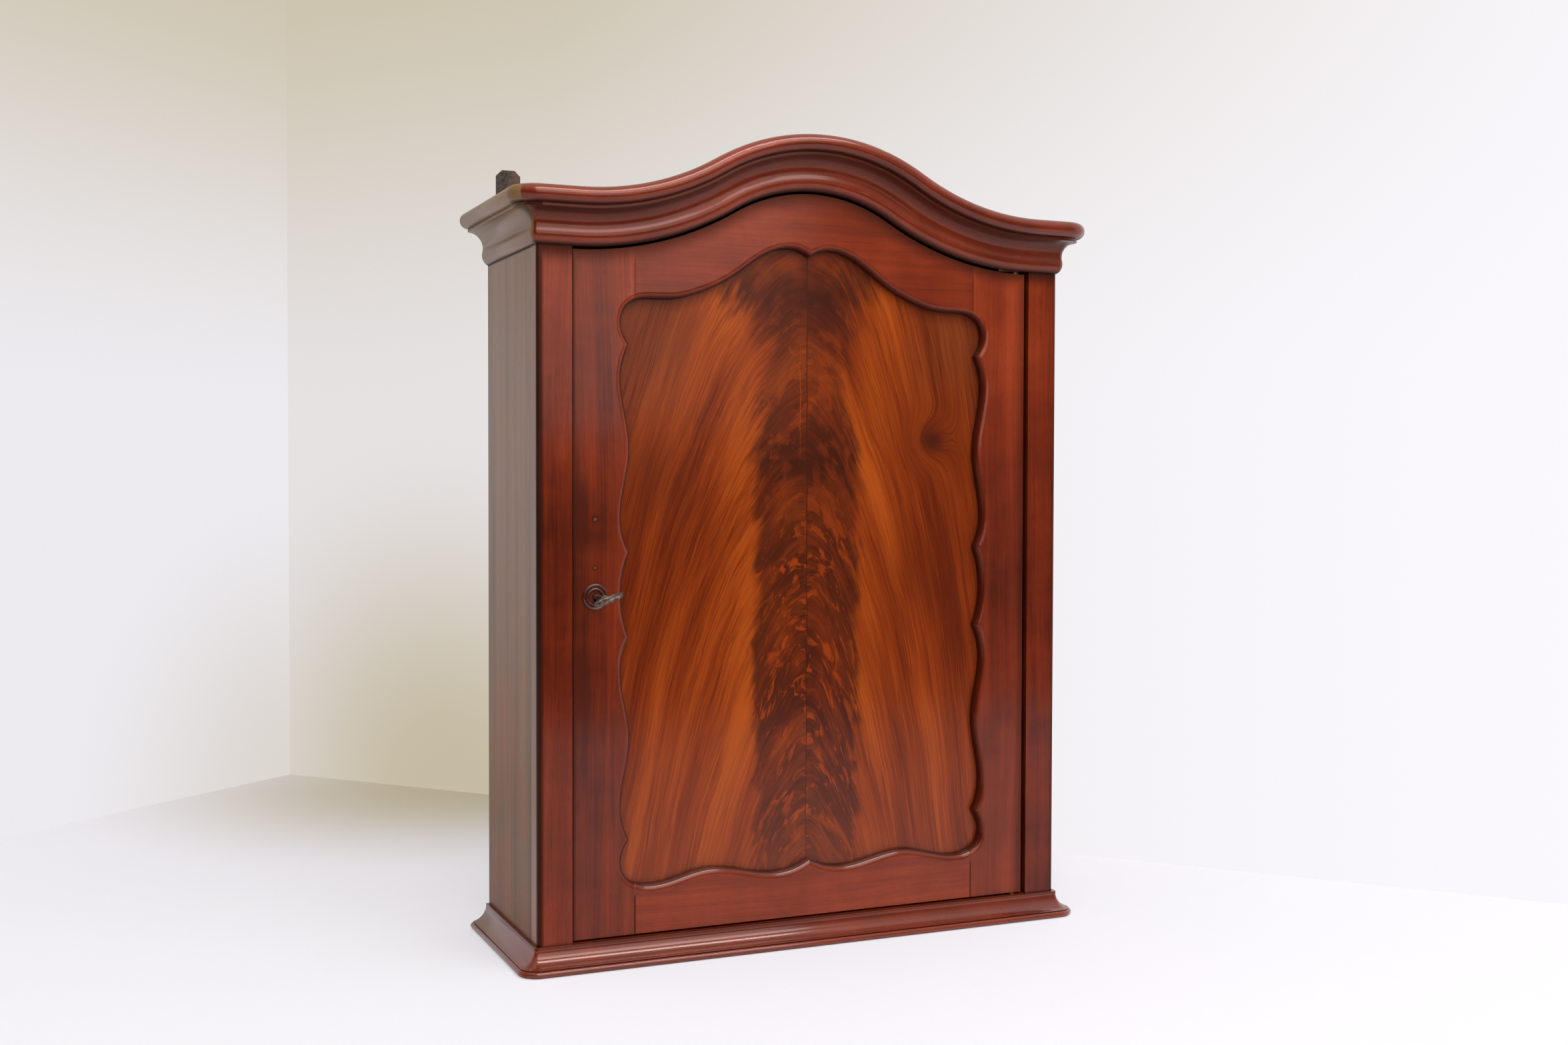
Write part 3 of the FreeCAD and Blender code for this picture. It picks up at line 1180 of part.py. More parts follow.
def make_key():
    """Key about its own axis: bored shank with a collar, bit with a ward cut, oval bow."""
    body = new_body("key")
    tip = f"({PLATE_FACE} - dims.key_tip)"
    bow = f"({DOOR_FACE} - dims.key_reach)"
    neck = f"({bow} + dims.bow_side)"
    collar = f"({neck} + dims.bow_bar + dims.key_collar_length)"
    section = plan_sketch(body, "key_section")
    bore = f"({tip} - dims.key_bore_depth)"
    bulge = "((dims.key_collar_length / 2)^2 / (2 * (dims.key_collar - dims.key_shank))"
    bulge += " + (dims.key_collar - dims.key_shank) / 2)"
    outline(section, [("dims.key_bore", tip), ("dims.key_bore", bore), ("0", bore), ("0", neck),
                      ("dims.key_shank", neck), ("dims.key_shank", f"({collar} - dims.key_collar_length)"),
                      ("dims.key_shank", collar), ("dims.key_shank", tip)],
            [None, None, None, None, None, (bulge, 1), None, None])
    turned(body, section, 360)
    bit = front_sketch(body, "key_bit", tip)
    turn_on_face(bit, "dims.bit_tilt - dims.key_tilt")
    rectangle(bit, "dims.key_shank / 2 + dims.key_bore / 2", "dims.bit_reach",
              "-dims.bit_thickness / 2", "dims.bit_thickness / 2")
    pad(body, bit, "dims.bit_width")
    ward = front_sketch(body, "key_ward", f"({tip} - dims.bit_width / 2 + dims.ward_slit / 2)")
    turn_on_face(ward, "dims.bit_tilt - dims.key_tilt")
    rectangle(ward, "dims.bit_reach - dims.ward_depth", "dims.bit_reach + dims.ward_depth",
              "-dims.bit_thickness", "dims.bit_thickness")
    pocket(body, ward, "dims.ward_slit", along=True)
    side = "((dims.bow_end_spread^2 + dims.bow_side^2 - dims.bow_end_radius^2)"
    side += " / (2 * (dims.bow_side - dims.bow_end_radius)))"
    spine = plan_sketch(body, "key_bow_spine")
    bow_outline(spine, bow, side)
    bow_end = "(dims.bow_end_spread + dims.bow_end_radius)"
    bar = sketch_on(body, "XZ_Plane", "key_bow_bar", (bow_end, "0", f"-({bow})"))
    circle(bar, "0", "0", "dims.bow_bar")
    sweep = body.newObject("PartDesign::AdditivePipe", "key_bow")
    sweep.Profile = bar
    sweep.Spine = (spine, [])
    body.Placement = FreeCAD.Placement(Vector(), Rotation(Vector(0, -1, 0), num("dims.key_tilt")))
    body.setExpression("Placement.Rotation.Angle", "dims.key_tilt")
    for axis, expression in (("x", KEY_X), ("z", KEY_Z)):
        body.setExpression(f"Placement.Base.{axis}", expression)
    finished(body, "key")


def bow_outline(sketch, level, side):
    """Oval of two end arcs and two side arcs that meet them smoothly, split at the right-hand end."""
    end = "dims.bow_end_radius"
    lean = f"(({side} - dims.bow_side) / ({side} - {end}))"
    spread = f"(dims.bow_end_spread / ({side} - {end}))"
    x = f"(dims.bow_end_spread + {end} * {spread})"
    y = f"({end} * {lean})"
    tip = f"(dims.bow_end_spread + {end})"
    corners = [(tip, level), (x, f"({level} + {y})"), (f"(-{x})", f"({level} + {y})"), (f"(-{tip})", level),
               (f"(-{x})", f"({level} - {y})"), (x, f"({level} - {y})")]
    outline(sketch, corners, [(end, 1), (side, 1), (end, 1), (end, 1), (side, 1), (end, 1)])


# Assembly

hanger_groups = {hand: screw_group(f"hanger_{side}", hanger_screw_places(hand))
                 for side, hand in (("left", -1), ("right", 1))}
carcass_places = leaf_screw_places(BASE_TOP, "-Z"), leaf_screw_places(EAVES, "+Z")
carcass_screws, carcass_drills = screw_group("hinge_carcass", carcass_places[0] + carcass_places[1])
door_places = leaf_screw_places(DOOR_FOOT, "+Z"), leaf_screw_places(DOOR_HEAD, "-Z")
door_screws, door_drills = screw_group("hinge_door", door_places[0] + door_places[1])
lock_screws, lock_drills = screw_group("lock", lock_screw_places())
hanger_screws = doc.addObject("Part::Compound", "hanger_screw_set")
hanger_screws.Links = [hanger_groups[hand][0] for hand in (-1, 1)]

for side, hand in (("left", -1), ("right", 1)):
    make_side(f"side_{side}", hand)
    make_front_stile(f"front_stile_{side}", hand)
    make_side_moulding(f"cornice_{side}", hand, cornice_profile, EAVES)
    make_side_moulding(f"base_{side}", hand, base_profile, "0")
    make_cleat(f"shelf_cleat_lower_{side}", hand, "shelf_lower_height")
    make_cleat(f"shelf_cleat_upper_{side}", hand, "shelf_upper_height")
    make_hanger(f"hanger_{side}", hand, hanger_groups[hand][1])
make_front_moulding("cornice_front", cornice_profile, EAVES, arch_run(f"(-{HALF})", HALF, "0"))
make_front_moulding("base_front", base_profile, "0")
make_arch_rail(carcass_drills)
make_bottom_rail(carcass_drills)
make_bottom_board()
make_back_board("back_board_left", 0, -1, hanger_groups[-1][1])
make_back_board("back_board_middle", 1, 0, None)
make_back_board("back_board_right", 2, 1, hanger_groups[1][1])
make_roof_board()
make_shelf("shelf_lower", "shelf_lower_height")
make_shelf("shelf_upper", "shelf_upper_height")
make_door_stop()
make_strike_plate()
make_hinge_plate("hinge_plate_bottom", BASE_TOP, "dims.bottom_gap", False, carcass_drills)
make_hinge_plate("hinge_plate_top", EAVES, "dims.top_gap", True, carcass_drills)
finished(carcass_screws, "hinge_screws_carcass")
finished(hanger_screws, "hanger_screws")

make_lock_stile(lock_drills)
make_hinge_stile(door_drills)
make_head_rail()
make_foot_rail()
make_panel()
make_beads()
make_hinge_leaf("hinge_leaf_bottom", DOOR_FOOT, False, door_drills)
make_hinge_leaf("hinge_leaf_top", DOOR_HEAD, True, door_drills)
finished(door_screws, "hinge_screws_door")
make_lock_case(lock_drills)
make_lock_cover()
make_lock_spring()
finished(lock_screws, "lock_screws")
make_escutcheon()
make_bolt()
make_key()

doc.recompute()

# Nothing is written unless every object and every sub-part came out sound

for item in doc.Objects:
    if "Invalid" in item.State or "Error" in item.State:
        raise RuntimeError(f"{item.Label} failed: {item.State}")
    if item.TypeId == "PartDesign::Pocket" and item.BaseFeature.Shape.Volume - item.Shape.Volume < 0.01:
        raise RuntimeError(f"{item.Label} cuts nothing")
for piece in sub_parts:
    if piece.Shape.isNull() or not piece.Shape.isValid() or not piece.Shape.Solids:
        raise RuntimeError(f"{piece.Label} has no sound shape")
for piece in sub_parts:
    piece.Shape.exportStep(os.path.join("parts", piece.Label + ".step"))
    print(piece.Label, len(piece.Shape.Solids), round(piece.Shape.Volume, 1))
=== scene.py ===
"""Looks for a wall-hung mahogany cabinet: polished frame, flame-figured panel, iron and brass."""

import math
from functools import partial

import bpy
import numpy as np
from bpy.props import FloatProperty, FloatVectorProperty, PointerProperty
from bpy.types import Operator, Panel, PropertyGroup
from mathutils import Matrix, Vector


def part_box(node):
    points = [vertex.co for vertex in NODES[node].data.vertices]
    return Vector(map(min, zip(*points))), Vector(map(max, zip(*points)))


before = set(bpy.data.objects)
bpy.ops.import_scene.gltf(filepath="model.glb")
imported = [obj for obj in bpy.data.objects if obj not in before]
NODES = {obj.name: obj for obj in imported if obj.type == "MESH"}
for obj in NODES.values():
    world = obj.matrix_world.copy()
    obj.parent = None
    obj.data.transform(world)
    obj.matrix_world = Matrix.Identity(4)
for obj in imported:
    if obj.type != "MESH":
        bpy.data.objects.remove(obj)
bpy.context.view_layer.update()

bl_info = {
    "name": "Hanging cabinet",
    "version": (1, 0, 0),
    "blender": (4, 5, 0),
    "location": "3D View > Sidebar > Cabinet",
    "description": "Finishes a hanging cabinet and sets it in a pale room corner",
    "category": "Object",
}

# Places on the cabinet that its finishes follow, in metres
SEAM_X = (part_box("door_panel")[0].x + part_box("door_panel")[1].x) / 2
DOOR_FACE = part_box("door_stile_lock")[0].y
PANEL_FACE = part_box("door_panel")[0].y
JOINT_REACH = 0.222
DOOR_JOINTS = (SEAM_X - JOINT_REACH, SEAM_X + JOINT_REACH)
LOCK_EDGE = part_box("door_stile_lock")[0].x
HINGE_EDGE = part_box("door_stile_hinge")[1].x
LEFT_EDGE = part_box("front_stile_left")[0].x
RIGHT_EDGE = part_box("front_stile_right")[1].x
KEY_CENTRE = (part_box("escutcheon")[0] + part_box("escutcheon")[1]) / 2
KNOT_ASIDE = 0.172
KNOT_HEIGHT = 0.607
BASE_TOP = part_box("base_front")[1].z

# The arch over the door: a crown arc between two hollow arcs, and the groove in its cornice
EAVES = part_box("cornice_left")[0].z
ARCH_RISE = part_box("cornice_front")[1].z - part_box("cornice_left")[1].z
ARCH_HALF = 0.296
CROWN_SHARE = 0.34
GROOVE = EAVES + 0.0432

# Soft edges, then the stage
WELD_GAP = 0.00001
SHARP_ANGLE = math.radians(40)
SENSOR_WIDTH = 36.0
WALL_HEIGHT = 3.0
WALL_RUN_RIGHT = 7.0
WALL_RUN_LEFT = 1.7
FLOOR_START = (-5.0, -1.9, 0.0)
FLOOR_WIDTH = 10.0
FLOOR_DEPTH = 6.6


def trait(kind, name, value, description, **units):
    """Property with its name, default and description."""
    return kind(name=name, description=description, default=value, **units)


# Colours in linear light, lengths and places in metres, angles in radians
colour = partial(trait, FloatVectorProperty, size=3, min=0.0, max=1.0, subtype="COLOR")
length = partial(trait, FloatProperty, unit="LENGTH", subtype="DISTANCE")
angle = partial(trait, FloatProperty, subtype="ANGLE")
spot = partial(trait, FloatVectorProperty, subtype="TRANSLATION")


class CabinetFinish(PropertyGroup):
    """Colours and sizes of the cabinet's finishes."""

    frame_dark: colour("Frame dark", (0.048, 0.0060, 0.0021), "Darkest streaks of the frame")
    frame_mid: colour("Frame", (0.150, 0.0178, 0.0042), "Usual colour of the frame")
    frame_light: colour("Frame light", (0.262, 0.0360, 0.0088), "Palest streaks of the frame")
    plume_dark: colour("Plume dark", (0.036, 0.0075, 0.0036), "Ground of the plume")
    plume_brown: colour("Plume brown", (0.098, 0.0155, 0.0042), "Half tone of the plume")
    plume_orange: colour("Plume orange", (0.285, 0.0400, 0.0046), "Licks of the flame")
    field_deep: colour("Field deep", (0.092, 0.0115, 0.0024), "Dark streaks beside the plume")
    field_mid: colour("Field", (0.198, 0.0285, 0.0036), "Usual colour beside the plume")
    field_gold: colour("Field gold", (0.345, 0.0640, 0.0066), "Golden streaks beside the plume")
    field_dull: colour("Field dull", (0.163, 0.0385, 0.0100), "Quiet corners beside the plume")
    # Colour of old wax in corners, and of the painted shade in corners, gaps and hollows
    grime_and_shade: colour("Grime and shade", (0.012, 0.006, 0.004), "Old wax and dirt in corners")
    deal: colour("Deal", (0.33, 0.180, 0.078), "Bare softwood inside and behind")
    deal_dark: colour("Deal dark", (0.15, 0.078, 0.034), "Late wood and age of the softwood")
    dust: colour("Dust", (0.30, 0.27, 0.215), "Dust on the roof")
    film: colour("Film", (0.35, 0.27, 0.115), "Yellowed film on worn polish")
    iron: colour("Iron", (0.022, 0.017, 0.014), "Old iron")
    rust: colour("Rust", (0.060, 0.026, 0.013), "Rust on the iron")
    rubbed: colour("Rubbed iron", (0.40, 0.285, 0.235), "Iron rubbed by hands")
    brass: colour("Brass", (0.40, 0.25, 0.085), "Hinges and strike plate")
    brass_brown: colour("Brass brown", (0.12, 0.062, 0.022), "Tarnish on the brass")
    edge_softness: length("Edge softness", 0.0005, "Rounding that use has given the edges")
    plume_width: length("Plume width", 0.068, "Half width of the dark plume")


class CabinetStage(PropertyGroup):
    """Camera and room."""

    camera_place: spot("Camera", (-0.8585, -1.9756, 0.5617), "Place of the camera")
    camera_yaw: angle("Yaw", math.radians(23.7465), "Turn to the right")
    camera_pitch: angle("Pitch", math.radians(-1.5479), "Tilt up")
    camera_roll: angle("Roll", math.radians(0.145), "Lean to one side")
    camera_lens: trait(FloatProperty, "Lens", 39.337, "Focal length", unit="CAMERA")
    wall_left: colour("Left wall", (0.85, 0.83, 0.87), "Wall at the left")
    # Near and far paint the wall behind lighter away from the corner: painted light
    wall_near: colour("Wall near", (0.79, 0.76, 0.765), "Wall behind, by the room's corner")
    wall_far: colour("Wall far", (0.965, 0.945, 0.99), "Wall behind, far to the right")
    wall_top: colour("Wall top", (0.60, 0.535, 0.40), "Tint of the walls high up")
    floor: colour("Floor", (0.80, 0.795, 0.83), "Floor")
    floor_shown: colour("Floor shown", (0.95, 0.935, 0.985), "Paleness the floor shows of its own")
    shade: colour("Shade", (0.55, 0.48, 0.345), "Floor and walls in the shade behind the cabinet")
    shade_place: spot("Shade place", (-0.17, 1.05, 0.0), "Middle of the shade behind")
    beyond: colour("Beyond", (0.86, 0.85, 0.875), "What shows where floor and walls end")
    corner: spot("Corner", (-0.417, 1.327, 0.0), "Foot of the room's corner")
    corner_turn: angle("Corner turn", math.radians(-49.8), "Turn of the room about the cabinet")


# Node writing


class Graph:
    """Writes nodes into one tree; a socket given as a value is linked, anything else is set."""

    def __init__(self, tree):
        self.tree = tree

    def put(self, socket, value):
        """Feed one socket; a colour of three numbers gets its fourth."""
        if isinstance(value, bpy.types.NodeSocket):
            self.tree.links.new(value, socket)
        else:
            size = len(value) if hasattr(value, "__len__") else 0
            socket.default_value = (*value, 1.0) if size == 3 and socket.type == "RGBA" else value

    def add(self, kind, inputs=(), **settings):
        """New node with its settings and its inputs."""
        node = self.tree.nodes.new(kind)
        for name, value in settings.items():
            setattr(node, name, value)
        for key, value in dict(inputs).items():
            self.put(node.inputs[key], value)
        return node

    def calc(self, operation, *values, clamp=False):
        node = self.add("ShaderNodeMath", operation=operation, use_clamp=clamp)
        for socket, value in zip(node.inputs, values):
            self.put(socket, value)
        return node.outputs[0]

    def times(self, first, second):
        return self.calc("MULTIPLY", first, second)

    def plus(self, first, second):
        return self.calc("ADD", first, second)

    def less(self, first, second):
        return self.calc("SUBTRACT", first, second)

    def fused(self, first, second, third):
        """First times second, plus third."""
        return self.calc("MULTIPLY_ADD", first, second, third)

    def most(self, first, *others):
        """Largest of the values."""
        for other in others:
            first = self.calc("MAXIMUM", first, other)
        return first

    def apart(self, first, second):
        """Difference without its sign."""
        return self.calc("ABSOLUTE", self.less(first, second))

    def squares(self, first, second):
        """Sum of the two squares."""
        return self.plus(self.times(first, first), self.times(second, second))

    def distance(self, first, second):
        return self.calc("SQRT", self.squares(first, second))

    def bell(self, first, second):
        """One at the middle, falling off as e to minus the squared distance."""
        return self.calc("POWER", math.e, self.times(self.squares(first, second), -1.0))

    def point(self, x=0.0, y=0.0, z=0.0):
        return self.add("ShaderNodeCombineXYZ", {"X": x, "Y": y, "Z": z}).outputs[0]

    def parts(self, vector):
        return self.add("ShaderNodeSeparateXYZ", {"Vector": vector}).outputs

    def noise(self, vector, scale, detail=2.0, roughness=0.5, distortion=0.0):
        inputs = {"Vector": vector, "Scale": scale, "Detail": detail, "Roughness": roughness,
                  "Distortion": distortion}
        return self.add("ShaderNodeTexNoise", inputs).outputs["Fac"]

    def span(self, value, low, high, to_low=0.0, to_high=1.0, smooth=False):
        """Map low to high onto two other values, and hold those beyond."""
        kind = "SMOOTHSTEP" if smooth else "LINEAR"
        inputs = {"Value": value, "From Min": low, "From Max": high,
                  "To Min": to_low, "To Max": to_high}
        return self.add("ShaderNodeMapRange", inputs, interpolation_type=kind).outputs[0]

    def rise(self, value, start, end, full=1.0):
        """Nothing up to the start, smoothly full from the end on."""
        return self.span(value, start, end, 0.0, full, smooth=True)

    def fade(self, value, start, end, full=1.0):
        """Full up to the start, smoothly nothing from the end on."""
        return self.span(value, start, end, full, 0.0, smooth=True)

    def band(self, value, middle, width):
        """One at the middle, falling smoothly to nothing a width away."""
        return self.fade(self.apart(value, middle), 0.0, width)

    def ramp(self, value, *stops):
        """Colours that follow a value, each stop a place and a colour."""
        node = self.add("ShaderNodeValToRGB", {"Fac": value})
        elements = node.color_ramp.elements
        while len(elements) < len(stops):
            elements.new(0.5)
        for element, (place, shade) in zip(elements, stops):
            element.position = place
            element.color = (*shade, 1.0)
        return node.outputs[0]

    def curve(self, value, *stops):
        """Levels that follow a value, each stop a place and a level."""
        return self.ramp(value, *((place, (level,) * 3) for place, level in stops))

    def blend(self, factor, first, second):
        """From the first colour to the second as the factor grows."""
        node = self.add("ShaderNodeMix", data_type="RGBA", clamp_factor=True)
        for index, value in ((0, factor), (6, first), (7, second)):
            self.put(node.inputs[index], value)
        return node.outputs[2]

    def vector(self, operation, first, second):
        return self.add("ShaderNodeVectorMath", {0: first, 1: second}, operation=operation).outputs

    def group(self, tree, **inputs):
        return self.add("ShaderNodeGroup", inputs, node_tree=tree).outputs

    def bump(self, height, strength, distance):
        inputs = {"Height": height, "Strength": strength, "Distance": distance}
        return self.add("ShaderNodeBump", inputs).outputs[0]


def new_group(name, outputs, **values):
    """Shader group fed with a place and values: the tree, its writer, its inputs and outputs."""
    tree = bpy.data.node_groups.new(name, "ShaderNodeTree")
    tree.interface.new_socket("Vector", in_out="INPUT", socket_type="NodeSocketVector")
    for label, default in values.items():
        socket = tree.interface.new_socket(label, in_out="INPUT", socket_type="NodeSocketFloat")
        socket.default_value = default
    for label in outputs:
        tree.interface.new_socket(label, in_out="OUTPUT", socket_type="NodeSocketFloat")
    graph = Graph(tree)
    given = graph.add("NodeGroupInput").outputs
    return tree, graph, given, graph.add("NodeGroupOutput").inputs


def new_material(name):
    """Material with a bare shader: the material, its writer, its shader, the object coordinates."""
    material = bpy.data.materials.new(name)
    material.use_nodes = True
    graph = Graph(material.node_tree)
    shader = material.node_tree.nodes["Principled BSDF"]
    place = graph.add("ShaderNodeTexCoord").outputs["Object"]
    return material, graph, shader, place


def surface(g, shader, tint, roughness, relief, strength, depth):
    """Feed a shader its colour, its roughness and a bump of some strength and depth."""
    g.put(shader.inputs["Base Color"], tint)
    g.put(shader.inputs["Roughness"], roughness)
    g.put(shader.inputs["Normal"], g.bump(relief, strength, depth))


def polish(shader, gloss):
    """Thin clear polish over stained wood: the wood under it shines red, the polish plain."""
    shader.inputs["Specular IOR Level"].default_value = min(0.5, gloss)
    shader.inputs["Specular Tint"].default_value = (1.0, 0.25, 0.13, 1.0)
    shader.inputs["Coat Weight"].default_value = gloss
    shader.inputs["Coat Roughness"].default_value = 0.16 - 0.07 * gloss


# Shared effects


def straight_grain():
    """Plain sawn wood, grain along the vector's Z: slow streaks, fibres, pores and cross figure."""
    outputs = ("Streak", "Fibre", "Pores", "Figure")
    tree, g, given, out = new_group("straight_grain", outputs, Seed=0.0)
    x, y, z = g.parts(given["Vector"])
    slow = g.point(g.times(x, 3.0), g.times(y, 3.0), g.fused(z, 2.2, given["Seed"]))
    across = g.plus(x, g.times(g.less(g.noise(slow, 1.0, 1.0), 0.5), 0.03))
    deep = g.plus(y, given["Seed"])

    def streaks(wide, long, detail=3.0, roughness=0.6, distortion=0.0):
        """Noise drawn out along the grain."""
        vector = g.point(g.times(across, wide), g.times(deep, wide), g.times(z, long))
        return g.noise(vector, 1.0, detail, roughness, distortion)

    g.put(out["Streak"], streaks(34.0, 1.4))
    g.put(out["Fibre"], streaks(420.0, 9.0))
    g.put(out["Pores"], g.span(streaks(1500.0, 60.0, 1.0), 0.60, 0.70))
    g.put(out["Figure"], streaks(9.0, 95.0, 2.0, 0.55, 0.4))
    return tree


def old_polish_and_corner_shade():
    """What age does to a polished face, and painted shade: corners darkened by how hidden they are,
    partly old wax and soil and partly painted shade; cloudy polish, pin holes and dents.
    """
    tree, g, given, out = new_group("old_polish_and_corner_shade", ("Grime and shade", "Cloud", "Marks"), Reach=0.008)
    place = given["Vector"]
    # Painted shade: corners that the occlusion finds hidden are darkened, partly as old wax and
    # soil
    corner = g.add("ShaderNodeAmbientOcclusion", {"Distance": given["Reach"]}, samples=8)
    hidden = g.span(corner.outputs["AO"], 0.30, 0.85, 1.0, 0.0)
    uneven = g.span(g.noise(place, 45.0, 3.0), 0.25, 0.75, 0.45, 1.0)
    g.put(out["Grime and shade"], g.times(hidden, uneven))
    g.put(out["Cloud"], g.noise(place, 11.0, 4.0, 0.6))
    cells = g.add("ShaderNodeTexVoronoi", {"Vector": place, "Scale": 62.0}).outputs
    chosen = g.span(g.parts(cells["Color"])[0], 0.90, 0.92)
    small = g.span(cells["Distance"], 0.045, 0.075, 1.0, 0.0)
    g.put(out["Marks"], g.times(chosen, small))
    return tree


def arch_fall():
    """Height with the arch taken out: the eaves plus the distance from the arch.

    The arch is a crown arc between two hollow arcs; a line through their centres parts them.
    """
    tree, g, given, out = new_group("arch_fall", ("Height",))
    x, _, z = g.parts(given["Vector"])
    radii = (ARCH_HALF ** 2 + ARCH_RISE ** 2) / (2 * ARCH_RISE)
    crown, hollow = radii * CROWN_SHARE, radii * (1.0 - CROWN_SHARE)
    outward = g.calc("MINIMUM", g.calc("ABSOLUTE", x), ARCH_HALF)
    inward = g.less(ARCH_HALF, outward)
    up = g.less(z, EAVES + ARCH_RISE - crown)
    down = g.less(EAVES + hollow, z)
    over_crown = g.less(g.distance(outward, up), crown)
    over_hollow = g.less(hollow, g.distance(inward, down))
    on_crown = g.calc("LESS_THAN", outward, g.times(up, ARCH_HALF / (radii - ARCH_RISE)))
    over = g.fused(on_crown, g.less(over_crown, over_hollow), over_hollow)
    g.put(out["Height"], g.plus(over, EAVES))
    return tree


def front_mask(g, y):
    """One on what faces the room, nothing a few millimetres further back."""
    return g.span(y, DOOR_FACE + 0.001, DOOR_FACE + 0.005, 1.0, 0.0)


def moulding_shade_and_dirt():
    """Painted shade in the cornice's groove and hollow and along its foot, a painted shadow below
    the cornice on the front, and soiling with painted shade on the base's ledge.
    """
    tree, g, given, out = new_group("moulding_shade_and_dirt", ("ShadeAndDirt",))
    _, y, z = g.parts(given["Vector"])
    fallen = g.group(bpy.data.node_groups["arch_fall"], Vector=given["Vector"])["Height"]
    from_eaves = g.apart(fallen, EAVES)
    # Painted shade: a thin dark line along the cornice's foot everywhere, wider on the front
    under = g.fade(from_eaves, 0.0007, 0.0020)
    foot = g.fade(from_eaves, 0.0010, 0.0055)
    # The base's ledge: soiling and painted shade where the pieces above meet it
    ledge = g.fade(g.apart(z, BASE_TOP - 0.0015), 0.0005, 0.0022, 0.5)
    # Painted shadow of the cornice, falling on the door and stiles below it
    below = g.less(EAVES, fallen)
    shadow_below_cornice = g.times(g.fade(below, 0.001, 0.024, 0.85), g.span(below, -0.001, 0.0005))
    # Painted shade in the cornice's groove and in the upper part of its hollow
    groove = g.fade(g.apart(fallen, GROOVE), 0.0006, 0.0024, 0.9)
    hollow = g.times(g.rise(fallen, GROOVE - 0.020, GROOVE - 0.004, 0.65),
                     g.span(fallen, GROOVE - 0.0025, GROOVE - 0.0015, 1.0, 0.0))
    faced = g.times(g.most(shadow_below_cornice, foot, groove, hollow), front_mask(g, y))
    g.put(out["ShadeAndDirt"], g.most(under, ledge, faced))
    return tree


def flame_field():
    """Lines of a crotch veneer, matched about a seam.

    Lines are level curves of a climb, which quickens with height, plus a power of the reach from
    the seam, so that they rise steeply at the sides and close in arches over the seam; a knot at
    the right adds rings.
    """
    labels = ("Line", "Along", "Aside", "Reach", "Side", "Height")
    tree, g, given, out = new_group("flame_field", labels)
    x, _, z = g.parts(given["Vector"])
    wander = g.times(g.less(g.noise(g.point(z=g.times(z, 9.0)), 1.0), 0.5), 0.005)
    aside = g.less(x, g.plus(wander, SEAM_X))
    reach = g.calc("ABSOLUTE", aside)
    side = g.calc("SIGN", aside)

    def waves(across, difference, upwards):
        """Slow noise about nothing; the two sides differ a little."""
        vector = g.point(g.times(reach, across), g.times(side, difference), g.times(z, upwards))
        return g.less(g.noise(vector, 1.0), 0.5)

    over = g.most(g.less(z, 0.25), 0.0)
    climb = g.fused(g.times(over, over), 0.5, g.times(z, 0.8))
    arch = g.times(g.calc("POWER", reach, 1.7), g.fused(side, 1.6, 8.2))
    bent = g.fused(waves(8.0, 0.35, 4.0), 0.085, g.times(waves(26.0, 0.8, 12.0), 0.012))
    knot_x = g.times(g.less(aside, KNOT_ASIDE), 1.0 / 0.029)
    knot_z = g.times(g.less(z, KNOT_HEIGHT), 1.0 / 0.025)
    knot = g.times(g.bell(knot_x, knot_z), 0.21)
    level = g.plus(g.plus(climb, arch), g.plus(bent, knot))
    line = g.calc("POWER", g.most(level, 0.01), 0.6)
    along = g.less(g.times(reach, 2.2), z)
    for label, value in zip(labels, (line, along, aside, reach, side, z)):
        g.put(out[label], value)
    return tree


def shared_groups():
    """The shared effects, built once."""
    made = {}
    for maker in (straight_grain, old_polish_and_corner_shade, arch_fall, moulding_shade_and_dirt, flame_field):
        made[maker.__name__] = bpy.data.node_groups.get(maker.__name__) or maker()
    return made


# Finishes


def turned_to(g, place, axis, groups):
    """Coordinates whose Z runs along the grain."""
    x, y, z = g.parts(place)
    if axis == "arch":
        z = g.group(groups["arch_fall"], Vector=place)["Height"]
        axis = "X"
    return g.point(*{"X": (z, y, x), "Y": (x, z, y), "Z": (x, y, z)}[axis])


